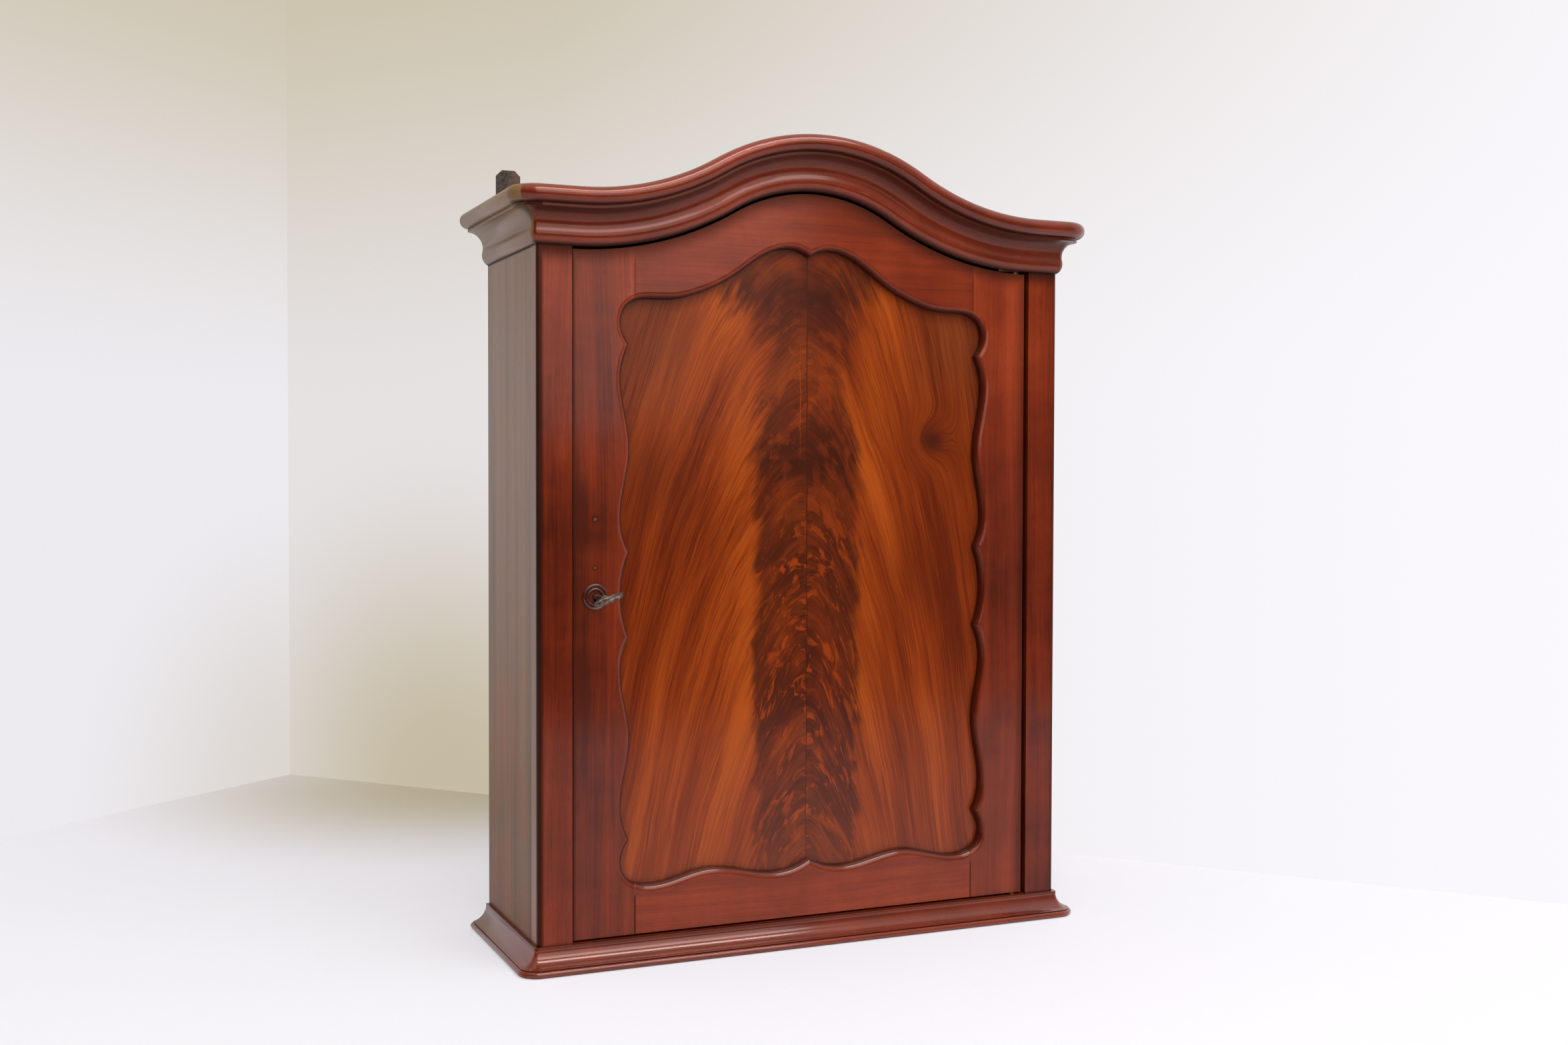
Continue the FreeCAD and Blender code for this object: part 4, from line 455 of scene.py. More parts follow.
def mahogany(name, run, groups, look, joints=(), shaded_rims=(), plugs=(),
             worn=None, flank=None, painted_light_ends=None, moulded=None):
    """Polished mahogany; run is a row of FRAME_PIECES.

    Joints are places along X with a dark line above and below the panel. Edges listed for shade lie
    along X with painted shade beside them on the front, each as place, depth, start and end. Plugs
    are filled holes in a front, as place, height and radius. Worn is the height up to which the
    polish has worn thin under a yellowed film, and the film also paints the pale room's sheen, more
    of it higher up; flank is the place along X of a worn flank. The pair for painted light says how
    much lighter the wood is painted towards foot and head, as more light and sheen fall there.
    Moulded is the shine of the edge round the panel, which is darkened with painted shade and
    soiling.
    """
    axis, seed, tone, strength, gloss, corner = run
    material, g, shader, place = new_material(name)
    turned = turned_to(g, place, axis, groups)
    grain = g.group(groups["straight_grain"], Vector=turned, Seed=seed)
    age = g.group(groups["old_polish_and_corner_shade"], Vector=place, Reach=corner)
    x, y, z = g.parts(place)
    level = g.times(g.less(grain["Fibre"], 0.5), 0.40 * strength)
    level = g.fused(g.less(grain["Streak"], 0.5), 0.95 * strength, level)
    level = g.plus(level, g.times(g.less(grain["Figure"], 0.5), 0.07 * strength))
    level = g.plus(level, g.fused(g.less(age["Cloud"], 0.5), 0.60, 0.5 + tone))
    # Painted light: the wood is painted lighter towards foot and head, where more light and sheen
    # fall
    if painted_light_ends:
        foot, head = painted_light_ends
        ends = g.plus(g.span(z, 0.03, 0.42, foot, 0.0), g.span(z, 0.45, 0.76, 0.0, head))
        level = g.plus(level, ends)
    wood = g.ramp(level, (0.18, look.frame_dark), (0.50, look.frame_mid), (0.82, look.frame_light))
    wood = g.blend(g.times(grain["Pores"], 0.45 * strength), wood, look.frame_dark)
    # Painted shade and shadow about the cornice, and soiling with painted shade on the base's ledge
    lines = g.group(groups["moulding_shade_and_dirt"], Vector=place)
    # Soiling and painted shade together: corners, cornice and base lines, joints, shaded edges and
    # plugs
    dirt_and_shade = g.most(g.times(age["Grime and shade"], 0.9), g.times(lines["ShadeAndDirt"], 0.95))
    for joint in joints:
        shut = g.span(g.apart(x, joint), 0.0005, 0.0017, 1.0, 0.0)
        beyond = g.plus(g.span(z, 0.076, 0.080, 0.8, 0.0), g.span(z, 0.765, 0.770, 0.0, 0.4))
        dirt_and_shade = g.most(dirt_and_shade, g.times(shut, beyond))
    front = front_mask(g, y)
    # Painted shade on the front beside the door's gaps and the stiles' outer edges
    for shaded_edge, depth, start, end in shaded_rims:
        dirt_and_shade = g.most(dirt_and_shade, g.times(g.fade(g.apart(x, shaded_edge), start, end, depth), front))
    shine = gloss
    if moulded:
        # Painted shade with soiling on the moulded edge round the panel: it is painted darker
        panel_edge_shade_and_dirt = g.times(g.span(y, DOOR_FACE + 0.0003, DOOR_FACE + 0.0018, 0.0, 0.9),
                          g.span(y, PANEL_FACE + 0.0015, PANEL_FACE + 0.0025, 1.0, 0.0))
        wood = g.blend(panel_edge_shade_and_dirt, wood, look.frame_dark)
        shine = g.fused(panel_edge_shade_and_dirt, moulded - gloss, gloss)
    for across, up, radius in plugs:
        away = g.distance(g.less(x, across), g.less(z, up))
        wood = g.blend(g.span(away, radius * 0.8, radius, 0.6, 0.0), wood, look.frame_dark)
        wood = g.blend(g.span(away, radius * 0.2, radius * 0.6, 0.22, 0.0), wood, look.film)
        dirt_and_shade = g.most(dirt_and_shade, g.times(g.band(away, radius, 0.0011), 0.6))
    coat = g.times(shine, g.span(dirt_and_shade, 0.0, 0.8, 1.0, 0.1))
    polish(shader, gloss)
    if worn or flank:
        shader.inputs["Specular IOR Level"].default_value = 0.3 * gloss
    if worn:
        # A yellowed film on worn polish, which also paints the grey sheen the pale room gives these
        # faces, more of it higher up
        streaky = g.span(grain["Streak"], 0.3, 0.7, 0.17, 0.28)
        wood = g.blend(g.times(streaky, g.span(z, 0.05, worn, 0.85, 1.5)), wood, look.film)
        coat = g.times(coat, g.span(z, 0.0, worn, 0.05, 1.2))
    if flank:
        outside = g.span(g.apart(x, flank), 0.0008, 0.0015, 1.0, 0.0)
        outside = g.times(outside, g.less(1.0, front))
        wood = g.blend(g.times(outside, 0.3), wood, look.film)
        coat = g.times(coat, g.span(outside, 0.0, 1.0, 1.0, 0.4))
    # Darken by soiling and painted shade
    wood = g.blend(dirt_and_shade, wood, look.grime_and_shade)
    wood = g.blend(g.times(age["Marks"], 0.7), wood, look.grime_and_shade)
    roughness = g.fused(age["Grime and shade"], 0.25, 0.30 - 0.10 * gloss)
    roughness = g.fused(age["Cloud"], 0.14, roughness)
    relief = g.fused(grain["Fibre"], 0.12, g.times(age["Cloud"], 0.4))
    relief = g.less(g.less(relief, g.times(grain["Pores"], 0.25)), age["Marks"])
    surface(g, shader, wood, roughness, relief, 0.25, 0.0004)
    g.put(shader.inputs["Coat Weight"], coat)
    return material


class Veneer:
    """Draws wood along the lines of the flame field, in one material."""

    def __init__(self, g, field, look):
        self.g, self.look = g, look
        self.line, self.along, self.aside = field["Line"], field["Along"], field["Aside"]
        self.reach, self.side, self.height = field["Reach"], field["Side"], field["Height"]
        self.bands = self.strands(41.0, 2.2, 3.0, 0.35)
        self.fine = self.strands(140.0, 4.5, 3.0, 0.5)
        self.hair = self.strands(390.0, 9.0, 2.0, 1.0)

    def strands(self, across, lengthways, detail, difference, distortion=0.0):
        """Streaks along the lines, so many across and along; the two sides differ a little."""
        g = self.g
        vector = g.point(g.times(self.line, across), g.times(self.along, lengthways),
                         g.times(self.side, difference))
        return g.less(g.noise(vector, 1.0, detail, 0.6, distortion), 0.5)

    def blotch(self, middle, up, wide, high):
        """Soft patch about a place beside the seam."""
        g = self.g
        x = g.times(g.less(self.aside, middle), 1.0 / wide)
        z = g.times(g.less(self.height, up), 1.0 / high)
        return g.bell(x, z)

    def stained(self, wood, stains):
        """Wood with stains, each a mask, a depth and a colour."""
        for mask, depth, shade in stains:
            wood = self.g.blend(self.g.times(mask, depth), wood, shade)
        return wood

    def field(self):
        """Fanning golden grain at both sides, with quiet corners, dark patches and the knot."""
        g, look, reach, height = self.g, self.look, self.reach, self.height
        eye = self.blotch(KNOT_ASIDE, KNOT_HEIGHT, 0.060, 0.055)
        calm = g.times(g.rise(reach, 0.10, 0.20), g.rise(height, 0.56, 0.74))
        calm = g.times(calm, g.fused(eye, -1.0, 1.0))
        lines = g.fused(self.bands, 0.32, g.fused(self.fine, 0.52, g.times(self.hair, 0.85)))
        lines = g.fused(self.strands(11.0, 1.5, 2.0, 0.25), 0.95, lines)
        glow = g.times(g.band(reach, 0.086, 0.055),
                       g.span(height, 0.14, 0.26, 0.3, 1.0, smooth=True))
        dim = g.times(g.rise(reach, 0.10, 0.22),
                      g.span(height, 0.40, 0.72, 0.15, 1.0, smooth=True))
        dusk = g.times(g.band(height, 0.43, 0.20), g.span(reach, 0.08, 0.16))
        tone = g.fused(glow, 0.17, g.fused(dim, -0.12, g.fused(dusk, -0.14, 0.49)))
        level = g.plus(g.times(lines, g.fused(calm, -0.3, 1.0)), tone)
        wood = g.ramp(level, (0.20, look.field_deep), (0.50, look.field_mid),
                      (0.84, look.field_gold))
        quiet = g.ramp(level, (0.22, look.plume_brown), (0.48, look.field_dull),
                       (0.90, look.field_gold))
        wood = g.blend(g.times(calm, 0.75), wood, quiet)
        return self.stained(wood, (
            (self.blotch(-0.195, 0.555, 0.050, 0.052), 0.55, look.plume_brown),
            (self.blotch(0.150, 0.440, 0.050, 0.045), 0.40, look.field_deep),
            (eye, 0.30, look.field_deep),
            (self.blotch(KNOT_ASIDE, KNOT_HEIGHT, 0.018, 0.016), 0.9, look.plume_dark),
        ))

    def plume_share(self):
        """How far the plume covers the field: full about the seam, frayed along the lines."""
        g, height = self.g, self.height
        wide = g.rise(height, 0.715, 0.80, 0.030)
        narrow = g.times(g.band(height, 0.685, 0.10), 0.010)
        uneven = g.noise(g.point(g.times(self.side, 0.7), 5.0, g.times(height, 22.0)), 1.0, 3.0)
        edge = g.fused(g.less(uneven, 0.5), 0.030, g.less(wide, narrow))
        edge = g.plus(edge, self.look.plume_width)
        soft = g.curve(height, (0.20, 0.015), (0.48, 0.018), (0.64, 0.036), (0.80, 0.064))
        core = g.fade(g.calc("DIVIDE", g.less(self.reach, edge), soft), -1.0, 1.0)
        loose = g.fused(self.strands(20.0, 3.0, 3.0, 0.6), 1.15, self.strands(72.0, 7.0, 3.0, 0.7))
        inside = g.rise(g.plus(core, loose), 0.24, 0.82)
        depth = g.curve(height, (0.09, 0.50), (0.15, 0.78), (0.24, 0.84), (0.46, 0.92),
                        (0.52, 0.78), (0.58, 1.0), (0.63, 0.80), (0.68, 0.58),
                        (0.73, 0.70), (0.775, 1.0), (0.82, 0.72))
        return g.times(inside, depth)

    def plume(self):
        """Dark clouded wood about the seam, with curling orange licks."""
        g, look, reach, height = self.g, self.look, self.reach, self.height
        vector = g.point(g.times(reach, 24.0), g.times(self.side, 0.9), g.times(height, 14.0))
        clouds = g.noise(vector, 1.0, 3.0, 0.55, 0.6)
        body = g.fused(self.bands, 0.7, g.fused(self.fine, 0.9, 0.30))
        body = g.fused(self.strands(26.0, 4.0, 3.0, 0.8, 0.8), 0.9, body)
        body = g.fused(g.less(clouds, 0.5), 1.2, body)
        wood = g.ramp(body, (0.20, look.plume_dark), (0.50, look.plume_brown),
                      (0.88, look.field_mid))
        curls = g.rise(self.strands(66.0, 15.0, 4.0, 1.3, 0.9), 0.05, 0.15)
        tongues = g.rise(self.strands(27.0, 9.0, 3.0, 1.1, 1.0), 0.05, 0.17, 0.9)
        busy = g.curve(height, (0.10, 0.85), (0.20, 1.0), (0.46, 1.0), (0.55, 0.30),
                       (0.66, 0.55), (0.76, 0.40), (0.80, 0.10))
        licks = g.times(g.most(curls, tongues), busy)
        wood = g.blend(g.times(licks, 0.85), wood, look.plume_orange)
        border = g.times(g.band(reach, 0.054, 0.016), g.times(g.band(height, 0.36, 0.24), 0.55))
        wood = g.blend(g.times(border, g.span(clouds, 0.35, 0.6)), wood, look.plume_dark)
        return self.stained(wood, (
            (self.blotch(0.0, 0.585, 0.034, 0.030), 0.65, look.plume_dark),
            (self.blotch(-0.006, 0.772, 0.055, 0.034), 0.75, look.plume_dark),
        ))

    def aged(self, wood, seam):
        """Wood with its growth lines, dark fibres, the seam and a fine crack beside it."""
        g, look, height = self.g, self.look, self.height
        growth = g.calc("ABSOLUTE", self.strands(52.0, 2.2, 1.0, 0.45))
        growth = g.times(g.span(growth, 0.0, 0.030, 0.50, 0.0),
                         g.span(self.strands(17.0, 5.0, 1.0, 0.3), -0.06, 0.12))
        wood = g.blend(growth, wood, look.field_deep)
        wood = g.blend(g.span(self.hair, 0.10, 0.22, 0.0, 0.45), wood, look.field_deep)
        wood = g.blend(seam, wood, look.plume_dark)
        wiggle = g.less(g.noise(g.point(0.0, 3.0, g.times(height, 60.0)), 1.0, 3.0), 0.5)
        crack = g.band(g.fused(wiggle, 0.012, g.plus(self.aside, 0.009)), 0.0, 0.0007)
        crack = g.times(crack, g.band(height, 0.655, 0.095))
        return g.blend(g.times(crack, 0.75), wood, look.field_gold)


def flame_mahogany(groups, look):
    """Book-matched flame veneer: a dark plume with orange licks between fields of golden grain."""
    material, g, shader, place = new_material("flame_mahogany")
    veneer = Veneer(g, g.group(groups["flame_field"], Vector=place), look)
    age = g.group(groups["old_polish_and_corner_shade"], Vector=place, Reach=0.016)
    seam = g.span(veneer.reach, 0.0003, 0.0011, 0.75, 0.0)
    wood = g.blend(veneer.plume_share(), veneer.field(), veneer.plume())
    # Painted shade and old soiling where the panel meets its moulding
    wood = g.blend(g.times(age["Grime and shade"], 0.9), veneer.aged(wood, seam), look.grime_and_shade)
    roughness = g.fused(age["Cloud"], 0.16, g.fused(age["Grime and shade"], 0.2, 0.24))
    relief = g.less(g.fused(veneer.fine, 0.2, g.times(age["Cloud"], 0.6)), g.times(seam, 1.2))
    surface(g, shader, wood, roughness, relief, 0.22, 0.0004)
    polish(shader, 0.22)
    g.put(shader.inputs["Coat Weight"], g.span(veneer.height, 0.08, 0.30, 0.55, 0.22))
    return material


def bare_deal(name, axis, seed, groups, look):
    """Unpolished softwood, brown with age, with late-wood lines and a few knots."""
    material, g, shader, place = new_material(name)
    turned = turned_to(g, place, axis, groups)
    grain = g.group(groups["straight_grain"], Vector=turned, Seed=seed)
    age = g.group(groups["old_polish_and_corner_shade"], Vector=place, Reach=0.012)
    x, y, z = g.parts(turned)
    sway = g.noise(g.point(g.times(x, 4.0), g.plus(y, seed), g.times(z, 1.1)), 1.0)
    rings = g.calc("FRACT", g.fused(g.plus(x, 0.37 * seed), 95.0, g.times(sway, 26.0)))
    late = g.times(g.rise(rings, 0.25, 0.90), g.span(rings, 0.93, 1.0, 1.0, 0.0))
    level = g.fused(age["Cloud"], 0.6, 0.16 * math.sin(5.0 * seed))
    level = g.fused(late, 0.30, g.fused(grain["Fibre"], 0.35, level))
    wood = g.blend(g.span(level, 0.25, 0.95), look.deal, look.deal_dark)
    cells = {"Vector": g.point(g.times(x, 6.0), seed, g.times(z, 2.6)), "Scale": 1.0}
    knots = g.add("ShaderNodeTexVoronoi", cells).outputs
    chosen = g.span(g.parts(knots["Color"])[1], 0.62, 0.66)
    knot = g.times(g.fade(knots["Distance"], 0.05, 0.11), chosen)
    wood = g.blend(g.times(knot, 0.8), wood, look.frame_dark)
    # Painted shade and old soiling in the corners of the bare boards
    wood = g.blend(g.times(age["Grime and shade"], 0.7), wood, look.grime_and_shade)
    roughness = g.fused(grain["Fibre"], 0.2, 0.55)
    surface(g, shader, wood, roughness, g.fused(late, 0.5, grain["Fibre"]), 0.4, 0.0005)
    return material


def dusty_board(groups, look):
    """Stained board under years of dust."""
    material, g, shader, place = new_material("dusty_board")
    turned = turned_to(g, place, "arch", groups)
    grain = g.group(groups["straight_grain"], Vector=turned, Seed=5.0)
    level = g.fused(grain["Streak"], 0.6, g.times(grain["Fibre"], 0.4))
    wood = g.ramp(level, (0.25, look.deal_dark), (0.75, look.deal))
    drift = g.noise(place, 7.0, 5.0, 0.65)
    cover = g.span(drift, 0.30, 0.68, 0.35, 0.9)
    wood = g.blend(cover, wood, look.dust)
    relief = g.plus(grain["Fibre"], drift)
    surface(g, shader, wood, g.fused(cover, 0.3, 0.6), relief, 0.3, 0.0005)
    return material


def old_iron(name, shine, groups, look):
    """Forged iron, brown-black, rubbed brighter where shine is high."""
    material, g, shader, place = new_material(name)
    age = g.group(groups["old_polish_and_corner_shade"], Vector=place, Reach=0.004)
    scale = g.noise(place, 260.0, 4.0, 0.65)
    patches = g.noise(place, 60.0, 3.0)
    metal = g.blend(g.span(patches, 0.42, 0.62), look.iron, look.rust)
    metal = g.blend(g.times(g.span(scale, 0.35, 0.65), shine), metal, look.rubbed)
    metal = g.blend(g.times(age["Grime and shade"], 0.6), metal, look.grime_and_shade)
    surface(g, shader, metal, g.fused(scale, 0.25, 0.34), scale, 0.35, 0.0004)
    g.put(shader.inputs["Metallic"], g.span(patches, 0.40, 0.64, 0.85, 0.35))
    return material


def old_brass(groups, look):
    """Brass gone brown, brighter where it rubs."""
    material, g, shader, place = new_material("old_brass")
    age = g.group(groups["old_polish_and_corner_shade"], Vector=place, Reach=0.004)
    tarnish = g.noise(place, 130.0, 4.0, 0.6)
    metal = g.blend(g.span(tarnish, 0.35, 0.70), look.brass, look.brass_brown)
    metal = g.blend(g.times(age["Grime and shade"], 0.7), metal, look.grime_and_shade)
    surface(g, shader, metal, g.fused(tarnish, 0.35, 0.18), tarnish, 0.15, 0.0002)
    shader.inputs["Metallic"].default_value = 0.95
    return material


def turned_ring(groups, look):
    """Dark turned wood with lathe lines about the keyhole."""
    material, g, shader, place = new_material("turned_ring")
    x, _, z = g.parts(g.vector("SUBTRACT", place, KEY_CENTRE)[0])
    rings = g.noise(g.point(g.times(g.distance(x, z), 1400.0)), 1.0)
    age = g.group(groups["old_polish_and_corner_shade"], Vector=place, Reach=0.005)
    wood = g.blend(g.span(rings, 0.35, 0.65), look.plume_dark, look.frame_dark)
    # Painted shade and old soiling in the ring's grooves
    wood = g.blend(age["Grime and shade"], wood, look.grime_and_shade)
    surface(g, shader, wood, g.fused(rings, 0.15, 0.22), rings, 0.2, 0.0002)
    polish(shader, 1.0)
    return material


def dress(names, material, soften=True):
    """Put a material on CAD nodes and round their edges a little."""
    softness = bpy.context.scene.cabinet_finish.edge_softness
    for name in names:
        piece = NODES[name]
        piece.data.materials.clear()
        piece.data.materials.append(material)
        if soften:
            weld = piece.modifiers.new("weld", "WELD")
            weld.merge_threshold = WELD_GAP
            bevel = piece.modifiers.new("soft_edge", "BEVEL")
            bevel.width = softness
            bevel.segments = 2
            bevel.limit_method = "ANGLE"
            bevel.angle_limit = SHARP_ANGLE


# Pieces

# Grain's axis and seed, tone, strength of the grain, gloss, and how far the painted corner shade,
# with soiling, reaches from corners
FRAME_PIECES = {
    "side_left": ("Z", 1.0, -0.05, 0.9, 0.24, 0.002),
    "side_right": ("Z", 2.0, -0.05, 0.9, 0.24, 0.002),
    "front_stile_left": ("Z", 3.0, -0.14, 0.8, 0.5, 0.007),
    "front_stile_right": ("Z", 4.0, -0.21, 0.8, 0.5, 0.007),
    "arch_rail": ("X", 5.0, 0.00, 0.8, 0.5, 0.002),
    "bottom_rail": ("X", 6.0, 0.10, 0.8, 0.5, 0.002),
    "cornice_front": ("arch", 7.0, -0.05, 0.7, 0.66, 0.013),
    "cornice_left": ("Y", 8.0, -0.05, 0.6, 0.24, 0.005),
    "cornice_right": ("Y", 9.0, -0.05, 0.6, 0.24, 0.005),
    "base_front": ("X", 10.0, -0.07, 0.6, 1.0, 0.004),
    "base_left": ("Y", 11.0, -0.08, 0.6, 0.40, 0.005),
    "base_right": ("Y", 12.0, -0.08, 0.6, 0.40, 0.005),
    "door_stile_lock": ("Z", 13.0, -0.12, 1.15, 0.5, 0.015),
    "door_stile_hinge": ("Z", 14.0, -0.13, 0.8, 0.5, 0.015),
    "door_rail_top": ("X", 15.0, 0.01, 0.9, 0.5, 0.015),
    "door_rail_bottom": ("X", 16.0, 0.07, 0.9, 0.5, 0.006),
}
LEVEL_BEADS = ("arch", 17.0, -0.05, 0.8, 0.4, 0.008)
UPRIGHT_BEADS = ("Z", 18.0, -0.05, 0.8, 0.4, 0.008)
# What use has done to single pieces, and the shade and light painted on some, as mahogany takes it
FRAME_WEAR = {
    **dict.fromkeys(("side_left", "side_right", "cornice_left", "cornice_right"), {"worn": 0.6}),
    "front_stile_left": {
        "shaded_rims": ((LEFT_EDGE, 0.85, 0.004, 0.009),), "flank": LEFT_EDGE, "painted_light_ends": (0.26, 0.20)
    },
    "front_stile_right": {
        "shaded_rims": ((RIGHT_EDGE, 0.50, 0.002, 0.007),), "flank": RIGHT_EDGE, "painted_light_ends": (0.06, 0.25)
    },
    "door_stile_lock": {
        "joints": DOOR_JOINTS[:1], "painted_light_ends": (0.10, 0.10), "moulded": 0.12,
        "shaded_rims": ((LOCK_EDGE, 0.15, 0.001, 0.010), (LOCK_EDGE, 0.65, 0.001, 0.0042)),
        "plugs": ((KEY_CENTRE.x, 0.512, 0.004), (KEY_CENTRE.x, 0.457, 0.003)),
    },
    "door_stile_hinge": {
        "joints": DOOR_JOINTS[1:], "painted_light_ends": (0.06, 0.36), "moulded": 0.1,
        "shaded_rims": ((HINGE_EDGE, 0.50, 0.001, 0.018),),
    },
    "door_rail_top": {"joints": DOOR_JOINTS, "moulded": 0.15},
    "door_rail_bottom": {"joints": DOOR_JOINTS, "moulded": 1.0},
}
# Grain's axis and seed
DEAL_PIECES = {
    "back_board_left": ("Z", 1.0),
    "back_board_middle": ("Z", 2.3),
    "back_board_right": ("Z", 3.7),
    "bottom_board": ("X", 4.1),
    "shelf_lower": ("X", 5.2),
    "shelf_upper": ("X", 6.6),
    "door_stop": ("Z", 8.8),
}
CLEATS = ("shelf_cleat_lower_left", "shelf_cleat_lower_right", "shelf_cleat_upper_left",
          "shelf_cleat_upper_right")
IRON_PIECES = ("hanger_left", "hanger_right", "hanger_screws", "lock_case", "lock_cover",
               "lock_spring", "lock_screws", "lock_bolt")
BRASS_PIECES = ("strike_plate", "hinge_plate_bottom", "hinge_plate_top", "hinge_screws_carcass",
                "hinge_leaf_bottom", "hinge_leaf_top", "hinge_screws_door")


class CABINET_OT_frame_wood(Operator):
    """Polish carcass, mouldings and door frame, each with its own run of grain"""

    bl_idname = "cabinet.frame_wood"
    bl_label = "Frame wood"

    def execute(self, context):
        groups = shared_groups()
        look = context.scene.cabinet_finish
        for name, run in FRAME_PIECES.items():
            wear = FRAME_WEAR.get(name, {})
            dress([name], mahogany("mahogany_" + name, run, groups, look, **wear))
        return {"FINISHED"}


class CABINET_OT_flame_panel(Operator):
    """Lay the book-matched flame veneer on the door panel"""

    bl_idname = "cabinet.flame_panel"
    bl_label = "Flame panel"

    def execute(self, context):
        veneer = flame_mahogany(shared_groups(), context.scene.cabinet_finish)
        dress(["door_panel"], veneer, soften=False)
        return {"FINISHED"}


class CABINET_OT_inner_boards(Operator):
    """Finish back, bottom, shelves, cleats and stop in bare softwood, and polish the beads"""

    bl_idname = "cabinet.inner_boards"
    bl_label = "Inner boards"

    def execute(self, context):
        groups = shared_groups()
        look = context.scene.cabinet_finish
        for name, (axis, seed) in DEAL_PIECES.items():
            dress([name], bare_deal("deal_" + name, axis, seed, groups, look))
        dress(CLEATS, bare_deal("deal_cleats", "Y", 7.4, groups, look))
        level = mahogany("mahogany_beads_level", LEVEL_BEADS, groups, look)
        dress(["panel_bead_bottom", "panel_bead_top"], level)
        upright = mahogany("mahogany_beads_upright", UPRIGHT_BEADS, groups, look)
        dress(["panel_bead_left", "panel_bead_right"], upright)
        return {"FINISHED"}


class CABINET_OT_roof(Operator):
    """Lay dust on the roof board"""

    bl_idname = "cabinet.roof"
    bl_label = "Roof"

    def execute(self, context):
        dress(["roof_board"], dusty_board(shared_groups(), context.scene.cabinet_finish))
        return {"FINISHED"}


class CABINET_OT_ironwork(Operator):
    """Finish hanging plates, lock and key in old iron"""

    bl_idname = "cabinet.ironwork"
    bl_label = "Ironwork"

    def execute(self, context):
        groups = shared_groups()
        look = context.scene.cabinet_finish
        dress(IRON_PIECES, old_iron("old_iron", 0.12, groups, look), soften=False)
        dress(["key"], old_iron("key_iron", 0.55, groups, look), soften=False)
        return {"FINISHED"}


class CABINET_OT_brasswork(Operator):
    """Finish hinges and strike plate in old brass"""

    bl_idname = "cabinet.brasswork"
    bl_label = "Brasswork"

    def execute(self, context):
        brass = old_brass(shared_groups(), context.scene.cabinet_finish)
        dress(BRASS_PIECES, brass, soften=False)
        return {"FINISHED"}


class CABINET_OT_escutcheon(Operator):
    """Finish the turned ring about the keyhole"""

    bl_idname = "cabinet.escutcheon"
    bl_label = "Escutcheon"

    def execute(self, context):
        ring = turned_ring(shared_groups(), context.scene.cabinet_finish)
        dress(["escutcheon"], ring, soften=False)
        return {"FINISHED"}


# Stage

# Name, place, target, width, height, power and colour
LAMPS = (
    ("high_window", (0.18, -3.45, 2.93), (0.0, -0.1, 0.6), 3.4, 1.12, 52.0, (1.0, 0.99, 0.98)),
    ("low_window", (0.10, -3.9, 1.55), (0.0, -0.1, 0.6), 3.2, 1.7, 28.0, (1.0, 0.99, 0.98)),
    ("top_light", (0.15, -1.25, 2.45), (0.0, -0.13, 0.7), 1.9, 0.5, 26.0, (1.0, 0.985, 0.96)),
)


def flat_sheet(name, corner, first, second):
    """Flat sheet: corner + u * first + v * second for u and v of 0 and 1."""
    u, v = np.meshgrid((0.0, 1.0), (0.0, 1.0), indexing="ij")
    points = np.array(corner) + u[..., None] * np.array(first) + v[..., None] * np.array(second)
    around = (0, 2, 3, 1)
    mesh = bpy.data.meshes.new(name)
    mesh.from_pydata(points.reshape(-1, 3).tolist(), [], [around])
    sheet = bpy.data.objects.new(name, mesh)
    bpy.context.scene.collection.objects.link(sheet)
    return sheet


def seen_directly(g):
    """One for rays from the camera, mirrored or let through, nothing for the rest."""
    path = g.add("ShaderNodeLightPath").outputs
    some = g.plus(path["Is Camera Ray"], path["Is Glossy Ray"])
    return g.calc("ADD", some, path["Is Transmission Ray"], clamp=True)


def shade_behind(g, place, stage):
    """Shade about a point behind the cabinet, gone some way from it."""
    away = g.vector("DISTANCE", place, stage.shade_place)["Value"]
    return g.fade(away, 0.05, 0.68, 0.95)


def matt_paint(material, g, shader, paint, shown, share):
    """Matt paint that shows a colour of its own by a share, and is looked through from behind."""
    g.put(shader.inputs["Base Color"], paint)
    shader.inputs["Roughness"].default_value = 0.9
    shader.inputs["Specular IOR Level"].default_value = 0.1
    glow = g.add("ShaderNodeEmission", {"Color": shown, "Strength": 1.0}).outputs[0]
    front = g.add("ShaderNodeMixShader", {0: share, 1: shader.outputs[0], 2: glow}).outputs[0]
    clear = g.add("ShaderNodeBsdfTransparent").outputs[0]
    behind = g.add("ShaderNodeNewGeometry").outputs["Backfacing"]
    mixed = g.add("ShaderNodeMixShader", {0: behind, 1: front, 2: clear}).outputs[0]
    g.put(material.node_tree.nodes["Material Output"].inputs["Surface"], mixed)


def wall_paint(name, near, far, stage, along):
    """Matt wall painted lighter along its length away from the corner, a painted light where more
    light falls, and duller high up.
    """
    material, g, shader, place = new_material(name)
    away = g.vector("SUBTRACT", place, stage.corner)[0]
    run = g.vector("DOT_PRODUCT", away, along)["Value"]
    # Painted light: the wall is painted lighter away from the corner
    paint = g.blend(g.rise(run, 0.2, 2.3), near, far)
    high = g.times(g.rise(g.parts(place)[2], 0.65, 1.5), g.span(run, 0.6, 2.2, 0.92, 0.08))
    paint = g.blend(high, paint, stage.wall_top)
    paint = g.blend(shade_behind(g, place, stage), paint, stage.shade)
    matt_paint(material, g, shader, paint, paint, seen_directly(g))
    return material


